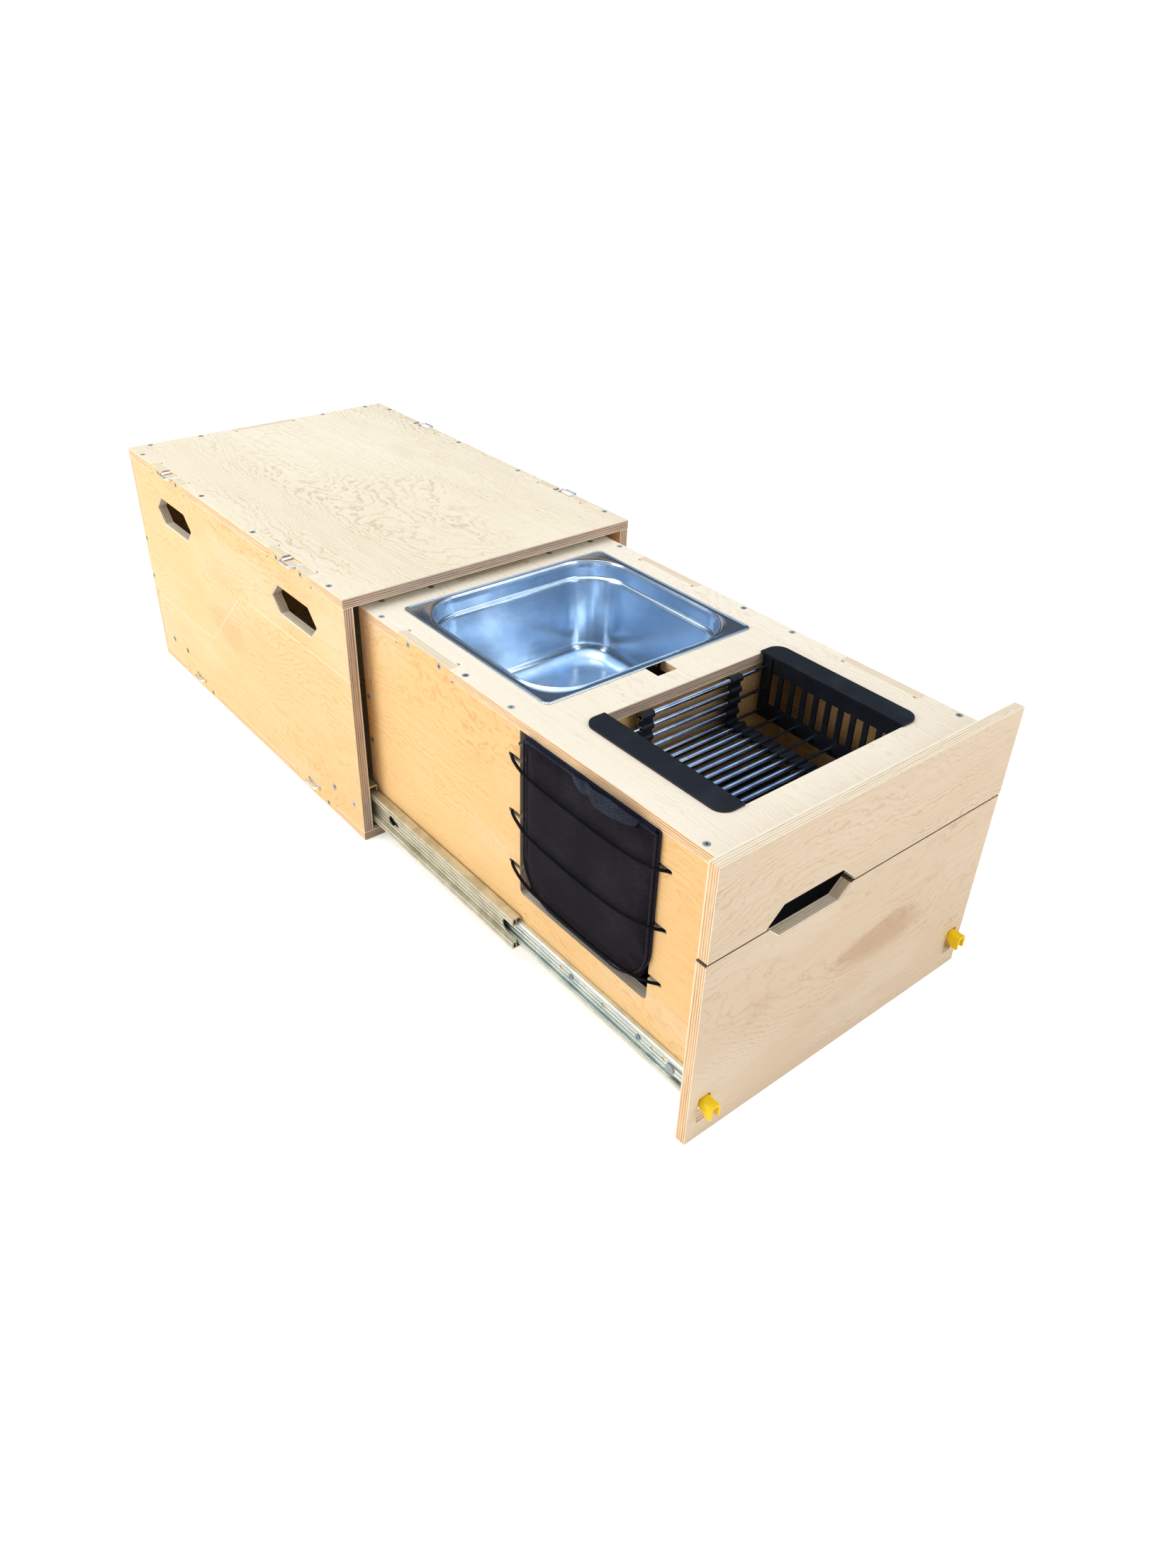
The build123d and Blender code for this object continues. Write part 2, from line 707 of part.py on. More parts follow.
def inner_screws():
    """Return the pan-head screws of the left inner member."""
    low = (Align.CENTER, Align.CENTER, Align.MIN)
    screw = Cylinder(pan_radius, pan_height, align=low) - lobed_recess(pan_drive, small_drive_depth)
    screw += Pos(0, 0, pan_height) * Cylinder(shank_radius, pan_shank, align=low)
    face = slide_gap - inner_wall - pan_height
    return place(screw, [(slide_point(face, y, 0), (1, 0, 0)) for y in inner_screw_y])


def inner_screw_bores(side):
    """Return the pilot holes of those screws in a drawer side."""
    x = (side * (drawer_half + 1), side * (drawer_half - pilot_depth))
    rows = [(y, shank_radius + bore_play) for y in inner_screw_y] + [(pivot_y, pin_radius + bore_play)]
    return [bar((x[0], y, slide_z), (x[1], y, slide_z), radius) for y, radius in rows]


# ---- release levers, drawn on the left and mirrored ----
cap_y = (panel_front - cap_reach, panel_back - 1.0)


def release_lever():
    """Return the flat lever: a round pivot end and a tongue that carries the cap."""
    u = (lever_u, lever_u + lever_wall)
    blade = in_slide(u, (panel_back + 8.0, pivot_y), span(0, lever_half))
    blade += slide_bar(*u, pivot_y, 0, lever_tail)
    blade += in_slide(u, (cap_y[0] + 3.0, panel_back + 16.0), (2.0, lever_half + 4.0))
    return blade - slide_bar(u[0] - 1, u[1] + 1, pivot_y, 0, pin_radius + 0.1)


def lever_rivet():
    """Return the rivet that the lever turns on, headed inside the slide."""
    head = slide_bar(inner_back + 0.3, lever_u - 0.1, pivot_y, 0, rivet_radius)
    return head + slide_bar(inner_back + 0.3, slide_gap + 6.0, pivot_y, 0, pin_radius)


def lever_cap():
    """Return the hooked cap, an upside-down U whose legs reach lower at the front."""
    u = (cap_u, cap_u + cap_width)
    low = cap_low_front - 1
    middle = -box_in + sum(u) / 2

    def arch(shrink, floor):
        height = cap_top - shrink - floor
        outline = Rectangle(cap_width - 2 * shrink, height, align=(Align.CENTER, Align.MAX))
        outline = fillet(outline.vertices().sort_by(Axis.Y)[-2:], cap_bend - shrink * 0.7)
        placed = Pos(middle, slide_z + cap_top - shrink) * outline
        return extrude(Plane.XZ.offset(-cap_y[0]) * placed, amount=-(cap_y[1] - cap_y[0]))

    shell = arch(0.0, low) - arch(cap_wall, low - 5)
    front, face, back = cap_y[0], panel_front, cap_y[1]
    z = [slide_z + v for v in (cap_low_front, cap_low_back, low - 3)]
    under = ((back + 1, z[1]), (face - 2.0, z[1]), (face - 8.0, z[0] + 2.0), (face - 12.0, z[0]),
             (front - 1, z[0]), (front - 1, z[2]), (back + 1, z[2]))
    shell -= prism(under, "x", -box_in + u[0] - 1, -box_in + u[1] + 1)
    slot = in_slide((lever_u - 0.02, lever_u + lever_wall + 0.02), (cap_y[0] + 2.9, back + 1),
                    (-20.0, lever_half + 4.1))
    return shell - slot


# ---- front panels ----
def front_cuts(lower):
    """Return the grip hole and, for the lower panel, the two lever notches."""
    middle = (grip_centre, split_height + grip_lift)
    cuts = [hexagon_hole(middle, grip_reach, grip_flat, grip_rise, "y",
                         panel_back + 1, panel_front, hand_bevel)]
    if lower:
        for side in (-1, 1):
            edge = side * (box_in + lever_notch_in)
            x = (edge, edge - side * lever_notch_width)
            z = (slide_z + lever_notch_bottom, slide_z + lever_notch_top)
            cuts.append(rounded_hole(x, z, notch_corner))
    return cuts


def rounded_hole(x, z, corner):
    """Return a cutter through a front panel with rounded corners."""
    hole = block(x, (panel_front - 1, panel_back + 1), z)
    return fillet(hole.edges().filter_by(Axis.Y), corner)


def front_panel(lower):
    """Return the lower or upper front panel."""
    shift = lower_shift if lower else 0.0
    z = (front_foot, split_height - split_gap / 2) if lower else (split_height + split_gap / 2, box_height)
    panel = block(span(shift, box_half), (panel_front, panel_back), z)
    return panel - front_cuts(lower) - small_bores()


small_screw = countersunk(small_shank, small_head, small_length)
small_screw -= lobed_recess(small_shank, small_drive_depth)
small_bore = countersunk(small_shank, small_head, small_length, bore_play, mouth=1.0)


def small_spots():
    """List the screws of the angle brackets as (point, way)."""
    spots = []
    for side in (-1, 1):
        for z in angle_spots:
            for rise in span(0, angle_screw_rise):
                x = side * (drawer_in - angle_screw_in)
                spots.append(((x, panel_back + angle_wall, z + rise), (0, -1, 0)))
                face = side * (drawer_in - angle_wall)
                spots.append(((face, panel_back + angle_screw_in, z + rise), (side, 0, 0)))
    return spots


def small_bores():
    """Return the pilot holes of the angle brackets' screws."""
    return place(small_bore, small_spots())


def angle_brackets():
    """Return the steel angles that hold the front panels to the drawer sides."""
    pieces = []
    for side in (-1, 1):
        inner = side * drawer_in
        for z in angle_spots:
            height = span(z, angle_leg / 2)
            leg = block((inner, inner - side * angle_wall), (panel_back, panel_back + angle_leg), height)
            foot = block((inner, inner - side * angle_leg), (panel_back, panel_back + angle_wall), height)
            pieces.append(leg + foot - small_bores())
    return pieces


# ---- drawer panels ----
def rounded_block(x, y, z, corner):
    """Return a block with its four upright edges rounded."""
    shape = Pos((x[0] + x[1]) / 2, (y[0] + y[1]) / 2, z[0]) * RectangleRounded(
        abs(x[1] - x[0]), abs(y[1] - y[0]), corner)
    return extrude(shape, amount=z[1] - z[0])


def drawer_top():
    """Return the drawer's top panel with the tray, finger and basket cut-outs."""
    z = (drawer_high - ply - 1, drawer_high + 1)
    play = tray_hole_play
    tray_hole = rounded_block(span(tray_centre, bowl_x / 2 + play), span(tray_mid, bowl_y / 2 + play), z,
                              bowl_corner)
    finger = block(span(slot_centre, slot_half), (slot_end, tray_mid), z)
    basket_hole = rounded_block(span(0, basket_hole_half), (basket_front, basket_back), z, basket_hole_corner)
    return drawer.flat_panel("top") - [tray_hole, finger, basket_hole]


def window_cuts():
    """Return the window of the left side and the six cord slots that open into it."""
    x = (-drawer_half - 1, -drawer_in + 1)
    window = block(x, window_y, (window_sill, drawer_high - ply + 0.01))
    lower = window.edges().filter_by(Axis.X).sort_by(Axis.Z)[:2]
    cuts = [fillet(lower, window_corner)]
    relief_z = drawer_high - window_relief
    cuts += [bar((x[0], edge, relief_z), (x[1], edge, relief_z), relief_radius) for edge in window_y]
    for z in cord_levels:
        for edge, way in ((window_y[0], -1), (window_y[1], 1)):
            end = edge + way * (cord_slot - cord_slot_half)
            cuts.append(block(x, (edge - way, end), span(z, cord_slot_half)))
            cuts.append(bar((x[0], end, z), (x[1], end, z), cord_slot_half))
    return cuts


def drawer_side(side):
    """Return one drawer side."""
    panel = drawer.side_panel(side) - inner_screw_bores(side) - small_bores()
    return panel - window_cuts() if side < 0 else panel


divider_y = (drawer_back - divider_back - ply, drawer_back - divider_back)
divider_spots = [((x, sum(divider_y) / 2, drawer_low), (0, 0, 1)) for x in span(0, divider_screw)]


def drawer_divider():
    """Return the divider between the sink side and the basket side, cut back round the bag."""
    panel = block(span(0, drawer_in), divider_y, (drawer_low + ply, drawer_high - ply))
    room = block((-drawer_in - 1, -drawer_half + bag_depth - bag_proud + bag_play), divider_y,
                 (window_sill, drawer_high))
    return panel - room - place(wood_bore, divider_spots)


# ---- sink tray ----
def tub(inset, floor, corner):
    """Return the solid inside a tapered tray bowl, inset all round, down to a floor."""
    top = drawer_high + tray_rise
    depths = ((0.0, 0.0), (bowl_step_depth, 1.5), (bowl_step_depth + bowl_step, 1.5 + bowl_step),
              (floor, bowl_taper + bowl_step))
    sections = []
    for depth, step in depths:
        width, length = bowl_x - 2 * (step + inset), bowl_y - 2 * (step + inset)
        shape = RectangleRounded(width, length, bowl_corner - step - inset)
        sections.append(Pos(tray_centre, tray_mid, top - depth) * shape)
    solid = loft(sections, ruled=True)
    return fillet(solid.edges().group_by(Axis.Z)[0], corner)


def gastro_tray():
    """Return the pressed tray: a flange with a turned-down edge round a stepped bowl."""
    top = drawer_high + tray_rise
    x, y = span(tray_centre, tray_x / 2), span(tray_mid, tray_y / 2)
    flange = rounded_block(x, y, (drawer_high, top), tray_corner)
    inner = [(a + tray_sheet, b - tray_sheet) for a, b in (x, y)]
    flange -= rounded_block(*inner, (drawer_high - 1, top - tray_sheet), tray_corner - tray_sheet)
    shell = flange + tub(0.0, tray_depth, bowl_fillet)
    return shell - tub(tray_sheet, tray_depth - tray_sheet, bowl_fillet - tray_sheet)


# ---- draining basket: two end frames joined by telescoping rods ----
floor_pitch = (basket_y - 2 * rod_margin) / (floor_tubes - 1)
frame_in = wall_x - rail_back
frame_out = wall_x + rail_out
frame_half = basket_y / 2 - frame_play


def rod_rows():
    """List the rods' places along Y and Z, from the top of the rear wall round to the front."""
    floor = drawer_high - floor_level
    rear = basket_mid + floor_pitch * (floor_tubes - 1) / 2
    front = basket_mid - floor_pitch * (floor_tubes - 1) / 2
    rises = [floor + wall_tube_pitch * step for step in range(wall_tubes, 0, -1)]
    rows = [(rear, z) for z in rises]
    rows += [(rear - floor_pitch * step, floor) for step in range(floor_tubes)]
    return rows + [(front, z) for z in reversed(rises)]


def basket_frame(side):
    """Return one end frame: a flange on the panel and a slotted wall that holds the rods."""
    top = drawer_high + flange_thick
    low = drawer_high - basket_depth
    y_out = span(basket_mid, basket_y / 2 + flange_lap)
    flange = block((side * flange_in, side * flange_out), y_out, (drawer_high, top))
    outer = flange.edges().filter_by(Axis.Z).sort_by(Axis.X)
    flange = fillet(outer[-2:] if side > 0 else outer[:2], flange_corner)
    y = span(basket_mid, frame_half)
    wall_in = frame_out - wall_thick
    body = flange + block((side * wall_in, side * frame_out), y, (low, drawer_high + 0.5))
    rail_top = drawer_high - slot_bottom
    body += block((side * frame_in, side * frame_out), y, (low, rail_top))
    for end in (-1, 1):
        post = sorted((basket_mid + end * frame_half, basket_mid + end * (frame_half - return_length)))
        body += block((side * frame_in, side * frame_out), post, (low, drawer_high))
    pitch = (2 * (frame_half - return_length) + slot_bar) / side_slots
    first = basket_mid - frame_half + return_length
    cuts = []
    for step in range(side_slots):
        slot = (first + pitch * step, first + pitch * (step + 1) - slot_bar)
        cuts.append(block((side * (frame_in - 1), side * (frame_out + 1)), slot,
                          (rail_top, drawer_high - slot_top)))
    for index, (rod_y, z) in enumerate(rod_rows()):
        if (index % 2 == 0) == (side > 0):
            cuts.append(bar((side * (frame_in - 1), rod_y, z), (side * (frame_out - rod_seat), rod_y, z),
                            rod_radius + bore_play / 2))
    return body - cuts


def basket_rods(side):
    """Return the thin rods that one end frame holds: every other one of the row."""
    rows = [spot for index, spot in enumerate(rod_rows()) if (index % 2 == 0) == (side > 0)]
    start, end = side * (frame_out - rod_seat), -side * rod_reach
    return [bar((start, y, z), (end, y, z), rod_radius) for y, z in rows]


def basket_tubes():
    """Return the thick tubes that the rods slide in."""
    return [pipe((tube_left, y, z), (tube_right, y, z), tube_radius, tube_bore) for y, z in rod_rows()]


def coupler(low, high):
    """Return one strip of rings that clips all the tubes together."""
    rows = rod_rows()
    strip = None
    for (y0, z0), (y1, z1) in zip(rows, rows[1:]):
        length = math.hypot(y1 - y0, z1 - z0)
        angle = math.degrees(math.atan2(z1 - z0, y1 - y0))
        link = Pos((low + high) / 2, (y0 + y1) / 2, (z0 + z1) / 2) * Rot(angle, 0, 0) * Box(
            high - low, length, coupler_link)
        strip = link if strip is None else strip + link
    strip += [bar((low, y, z), (high, y, z), coupler_radius) for y, z in rows]
    return strip - [bar((low - 1, y, z), (high + 1, y, z), tube_radius + bore_play / 2) for y, z in rows]


# ---- utensil bag in the window ----
bag_face = drawer_half + bag_proud


def utensil_bag():
    """Return the bag: a body through the window and a wider front that laps over the panel."""
    y = (window_y[0] + bag_play, window_y[1] - bag_play)
    z = (window_sill + cord_lift, drawer_high - ply - bag_play)
    body = block((-drawer_half + bag_depth - bag_proud, -drawer_half - cord_lift), y, z)
    body = fillet(body.edges().filter_by(Axis.X).sort_by(Axis.Z)[:2], window_corner + bag_foot_round)
    lap_y = (window_y[0] - bag_lap_front, window_y[1] - bag_lap_back)
    lap_z = (z[0] + bag_lap_lift, drawer_high - bag_top_drop)
    lap = block((-bag_face, -drawer_half - cord_lift), lap_y, lap_z)
    lap = fillet(lap.edges().filter_by(Axis.X).sort_by(Axis.Z)[:2], bag_corner)
    return body + fillet(lap.faces().sort_by(Axis.X)[0].edges(), bag_edge_round)


def bag_handle():
    """Return the webbing handle, folded down over the bag's front."""
    middle = (window_y[0] + window_y[1]) / 2 - handle_shift
    z = (drawer_high - bag_top_drop - handle_drop, drawer_high - bag_top_drop)
    x = (-bag_face - handle_thick - cord_lift, -bag_face - cord_lift)
    strip = block(x, span(middle, handle_length / 2), z)
    return fillet(strip.edges().filter_by(Axis.X).sort_by(Axis.Z)[:2], handle_corner)


def cord_points(level, sag):
    """List the points of one elastic cord, from the knot behind the panel across the bag."""
    lie = -bag_face - cord_radius - cord_lift
    start = window_y[1] + cord_slot - cord_radius - cord_lift
    finish = window_y[0] - cord_slot + cord_radius + cord_lift
    knot_x = -drawer_in + knot_radius + cord_lift
    points = [(knot_x, start, level), (-drawer_half - cord_out, start, level)]
    near, far = window_y[1] - bag_lap_back + cord_near_lap, window_y[0] - bag_lap_front - cord_far_lap
    for step in range(cord_steps):
        share = step / (cord_steps - 1)
        bulge = 4 * share * (1 - share)
        y = near + (far - near) * share
        points.append((lie - cord_lie - bulge, y, level - sag * bulge - cord_drop * share))
    points.append((-drawer_half - cord_far_out, finish, level - cord_drop))
    points.append((knot_x, finish, level - cord_drop))
    return points


def elastic_cord(name, points):
    """Return one cord as straight runs joined by arcs as large as the runs allow."""
    spots = [Vector(*point) for point in points]
    radii = []
    for before, corner, after in zip(spots, spots[1:], spots[2:]):
        turn = (corner - before).get_angle(after - corner)
        shorter = min((corner - before).length, (after - corner).length)
        radii.append(0.45 * shorter / math.tan(math.radians(turn) / 2))
    print(name, "bend radii:", " ".join(f"{radius:.1f}" for radius in radii))
    path = FilletPolyline(*points, radius=radii)
    tube = sweep(Plane(origin=path @ 0, z_dir=path % 0) * Circle(cord_radius), path=path)
    print(name, "volume against section times length:", round(
        tube.volume / (math.pi * cord_radius ** 2 * path.length), 4))
    return tube


def cord_knot(point):
    """Return one knot behind the panel, bored for its cord."""
    x, y, z = point
    ball = Pos(x, y, z) * Sphere(knot_radius)
    return ball - bar((x, y, z), (x - knot_radius - 1, y, z), cord_radius + bore_play / 2)


# ---- storage case in the drawer ----
def stove_case():
    """Return the two shells of the storage case that stands under the basket."""
    x = span(case_shift, case_half)
    y = (panel_back + case_front, divider_y[0] - case_back_gap)
    floor = drawer_low + ply
    split = floor + case_split * case_height
    top = floor + case_height
    inner = [(a + case_wall, b - case_wall) for a, b in (x, y)]
    base = rounded_block(x, y, (floor, split), case_corner)
    base -= rounded_block(*inner, (floor + case_wall, split + 1), case_corner - case_wall)
    lid = rounded_block(x, y, (split, top), case_corner)
    lid = fillet(lid.edges().group_by(Axis.Z)[-1], case_lid_round)
    lid -= rounded_block(*inner, (split - 1, top - case_wall), case_corner - case_wall)
    return [base, lid]


def main():
    """Build every piece and write it to its own file."""
    os.makedirs("parts", exist_ok=True)
    holes = {side: loop_cuts(side) for side in (-1, 1)}
    save("carcass_top", carcass.flat_panel("top") - holes[-1] - holes[1])
    save("carcass_bottom", carcass.flat_panel("bottom"))
    save("carcass_back", carcass.back_panel())
    for side, word in ((-1, "left"), (1, "right")):
        cuts = v_line(side) + holes[side]
        for tab in carcass.tabs[side, "top"]:
            cuts.append(wall_bevel((tab + hand_shift, box_height - hand_drop), side))
        bolt = countersunk(bolt_radius, bolt_head, bolt_hole, bore_play, mouth=1.0)
        cuts += place(bolt, [((side * box_half, y, slide_z), (-side, 0, 0)) for y in bolt_y])
        save("carcass_" + word + "_side", carcass.side_panel(side) - cuts)
        save("lashing_loops_" + word, *lashing_loops(side))
        save("drawer_" + word + "_side", drawer_side(side))
        save("basket_frame_" + word, basket_frame(side))
        save("basket_rods_" + word, *basket_rods(side))
    save("carcass_screws", *place(wood_screw, carcass.screws()))

    pairs = {
        "slide_outer": lambda: [slide_outer()],
        "slide_middle": lambda: [slide_middle()],
        "slide_inner": lambda: [slide_inner()],
        "ball_cage_outer": lambda: race_cage(outer_ball_u, outer_race, outer_cage_y, ball_outer,
                                                outer_cage_reach),
        "ball_cage_inner": lambda: race_cage(inner_ball_u, inner_race, inner_cage_y, ball_inner,
                                                inner_cage_reach),
        "balls_outer": lambda: race_balls(outer_ball_u, outer_race, outer_cage_y, ball_outer),
        "balls_inner": lambda: race_balls(inner_ball_u, inner_race, inner_cage_y, ball_inner),
        "release_lever": lambda: [release_lever()],
        "lever_cap": lambda: [lever_cap()],
    }
    for name, maker in pairs.items():
        left = maker()
        save(name + "_left", *left)
        save(name + "_right", *[mirror(piece, about=Plane.YZ) for piece in left])
    shared = {"slide_bolts": slide_bolts(), "slide_nuts": slide_nuts(), "slide_screws": inner_screws(),
              "lever_rivets": [lever_rivet()]}
    for name, left in shared.items():
        save(name, *left, *[mirror(piece, about=Plane.YZ) for piece in left])

    save("drawer_top", drawer_top())
    save("drawer_bottom", drawer.flat_panel("bottom") - place(wood_bore, divider_spots))
    save("drawer_back", drawer.back_panel())
    save("drawer_divider", drawer_divider())
    save("drawer_screws", *place(wood_screw, drawer.screws() + divider_spots))
    save("front_lower_panel", front_panel(lower=True))
    save("front_upper_panel", front_panel(lower=False))
    save("angle_brackets", *angle_brackets())
    save("front_screws", *place(small_screw, small_spots()))
    save("gastro_tray", gastro_tray())
    save("basket_tubes", *basket_tubes())
    save("basket_couplers", coupler(tube_left, tube_left + coupler_length),
         coupler(tube_right - coupler_length, tube_right))
    save("utensil_bag", utensil_bag())
    save("bag_handle", bag_handle())
    knots = []
    for word, level, sag in zip(("top", "middle", "bottom"), cord_levels, cord_sags):
        points = cord_points(level, sag)
        save("elastic_cord_" + word, elastic_cord("elastic_cord_" + word, points))
        knots += [cord_knot(points[0]), cord_knot(points[-1])]
    save("cord_knots", *knots)
    save("stove_case", *stove_case())


main()
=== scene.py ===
"""Looks of a plywood camping kitchen box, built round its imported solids.

Every size is in metres. X runs to the right, Y to the back and Z up. The box stands on the floor with
its drawer drawn out along -Y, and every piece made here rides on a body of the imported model.
"""

from __future__ import annotations

import json
import logging
import math
from dataclasses import dataclass, field
from enum import Enum

import bpy
import numpy as np
from mathutils import Matrix, Vector

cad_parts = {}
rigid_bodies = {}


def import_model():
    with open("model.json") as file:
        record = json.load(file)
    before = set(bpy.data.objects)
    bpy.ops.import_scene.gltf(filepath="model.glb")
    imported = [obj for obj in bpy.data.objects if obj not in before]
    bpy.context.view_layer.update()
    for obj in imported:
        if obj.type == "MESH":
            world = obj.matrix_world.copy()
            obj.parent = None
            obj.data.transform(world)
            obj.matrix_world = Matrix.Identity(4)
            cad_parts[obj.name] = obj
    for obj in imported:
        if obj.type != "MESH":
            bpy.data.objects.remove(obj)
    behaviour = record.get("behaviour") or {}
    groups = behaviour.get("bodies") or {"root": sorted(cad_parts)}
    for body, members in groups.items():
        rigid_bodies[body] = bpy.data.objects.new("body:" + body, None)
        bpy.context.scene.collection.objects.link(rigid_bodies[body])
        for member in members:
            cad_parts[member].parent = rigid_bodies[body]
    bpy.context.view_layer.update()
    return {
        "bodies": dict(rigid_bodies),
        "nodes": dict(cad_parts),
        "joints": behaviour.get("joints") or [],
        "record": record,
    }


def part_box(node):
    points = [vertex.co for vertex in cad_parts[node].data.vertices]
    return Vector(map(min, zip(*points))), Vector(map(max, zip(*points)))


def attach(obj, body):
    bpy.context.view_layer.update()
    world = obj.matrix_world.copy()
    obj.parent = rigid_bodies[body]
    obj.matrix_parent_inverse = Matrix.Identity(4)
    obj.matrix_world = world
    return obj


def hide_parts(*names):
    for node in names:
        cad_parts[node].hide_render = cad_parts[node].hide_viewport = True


log = logging.getLogger("kitchen_box")

MM = 0.001
TURN = 2.0 * math.pi
RIB_STRENGTH = 0.9
RIB_HEIGHT = 0.6 * MM
FINE_BUMP = 0.2 * MM
COARSE_BUMP = 0.4 * MM


def tone(red: int, green: int, blue: int) -> tuple[float, float, float, float]:
    """Return a screen colour, 0 to 255 a channel, as a linear shader colour."""
    linear = [((c / 255 + 0.055) / 1.055) ** 2.4 if c > 10 else c / 3294.6 for c in (red, green, blue)]
    return (*linear, 1.0)


# ---------------------------------------------------------------- shader building


class Graph:
    """Builds one node tree. Its methods return the socket, or the node, that they make."""

    def __init__(self, tree: bpy.types.NodeTree) -> None:
        """Keep the tree that the nodes go into."""
        self.tree = tree

    def feed(self, value: object, socket: bpy.types.NodeSocket) -> None:
        """Link a socket to another, or set it to a plain value."""
        if isinstance(value, bpy.types.NodeSocket):
            self.tree.links.new(value, socket)
        else:
            socket.default_value = value

    def add(self, kind: str, values: dict | None = None, **settings: object) -> bpy.types.Node:
        """Add a shader node.

        Args:
            kind: the node's type, without ShaderNode.
            values: input name or index to a value or socket.
            settings: the node's own options.

        Returns:
            The new node.
        """
        node = self.tree.nodes.new("ShaderNode" + kind)
        for name, value in settings.items():
            setattr(node, name, value)
        for name, value in (values or {}).items():
            self.feed(value, node.inputs[name])
        return node

    def math(self, operation: str, a: object, b: object = 0.0) -> bpy.types.NodeSocket:
        """Return one sum of two values."""
        return self.add("Math", {0: a, 1: b}, operation=operation).outputs[0]

    def mix(self, factor: object, a: object, b: object, blend: str = "MIX") -> bpy.types.NodeSocket:
        """Return two colours mixed by a factor."""
        return self.add("Mix", {0: factor, 6: a, 7: b}, data_type="RGBA", blend_type=blend).outputs[2]

    def step(self, value: object, low: float, high: float) -> bpy.types.NodeSocket:
        """Return 0 below low, 1 above high and a smooth rise between."""
        settings = {"Value": value, "From Min": low, "From Max": high}
        return self.add("MapRange", settings, interpolation_type="SMOOTHSTEP").outputs[0]

    def stretch(self, vector: object, scale: tuple[float, float, float]) -> bpy.types.NodeSocket:
        """Return a vector multiplied axis by axis."""
        return self.add("VectorMath", {0: vector, 1: scale}, operation="MULTIPLY").outputs[0]

    def noise(self, vector: object, scale: tuple[float, float, float], detail: float = 2.0,
              rough: float = 0.5) -> bpy.types.NodeSocket:
        """Return a cloudy value, about 0.3 to 0.7, at its own scale along each axis."""
        values = {"Vector": self.stretch(vector, scale), "Scale": 1.0, "Detail": detail, "Roughness": rough}
        return self.add("TexNoise", values).outputs[0]

    def split(self, vector: object) -> bpy.types.NodeSocket:
        """Return a vector's three parts as a list of sockets."""
        return self.add("SeparateXYZ", {0: vector}).outputs

    def join(self, x: object, y: object, z: object) -> bpy.types.NodeSocket:
        """Return a vector made of three values."""
        return self.add("CombineXYZ", {0: x, 1: y, 2: z}).outputs[0]

    def place(self) -> bpy.types.NodeSocket:
        """Return the surface point in the object's own coordinates."""
        return self.add("TexCoord").outputs["Object"]

    def bump(self, height: object, strength: float, distance: float) -> bpy.types.NodeSocket:
        """Return the normal of a surface raised by a height."""
        return self.add("Bump", {"Height": height, "Strength": strength, "Distance": distance}).outputs[0]

    def rolled(self, normal: object, ribs: float) -> bpy.types.NodeSocket:
        """Add long rolled ribs to a surface: a sine of its height.

        Args:
            normal: the surface's normal so far.
            ribs: how many ribs there are in a metre.

        Returns:
            The normal of the ribbed surface.
        """
        wave = self.math("SINE", self.math("MULTIPLY", self.split(self.place())[2], ribs * TURN))
        values = {"Height": wave, "Strength": RIB_STRENGTH, "Distance": RIB_HEIGHT, "Normal": normal}
        return self.add("Bump", values).outputs[0]


class Recipe:
    """A shared node group with named inputs and outputs, made once."""

    def __init__(self, name: str, inputs: dict[str, object], outputs: dict[str, str]) -> None:
        """Make the group's sockets.

        Args:
            name: the group's name.
            inputs: name to default; three numbers make a vector and four a colour.
            outputs: name to kind, Color or Float.
        """
        self.tree = bpy.data.node_groups.new(name, "ShaderNodeTree")
        for label, default in inputs.items():
            kinds = {3: "NodeSocketVector", 4: "NodeSocketColor"}
            kind = kinds[len(default)] if isinstance(default, tuple) else "NodeSocketFloat"
            self.tree.interface.new_socket(label, in_out="INPUT", socket_type=kind).default_value = default
        for label, kind in outputs.items():
            self.tree.interface.new_socket(label, in_out="OUTPUT", socket_type="NodeSocket" + kind)
        self.graph = Graph(self.tree)
        self.given = self.tree.nodes.new("NodeGroupInput").outputs
        self.made = self.tree.nodes.new("NodeGroupOutput").inputs

    def use(self, graph: Graph, values: dict) -> bpy.types.NodeOutputs:
        """Place the group in another tree with its own values.

        Args:
            graph: the graph of that tree.
            values: input name to a value or socket.

        Returns:
            The outputs of the placed group.
        """
        node = graph.add("Group")
        node.node_tree = self.tree
        for name, value in values.items():
            graph.feed(value, node.inputs[name])
        return node.outputs


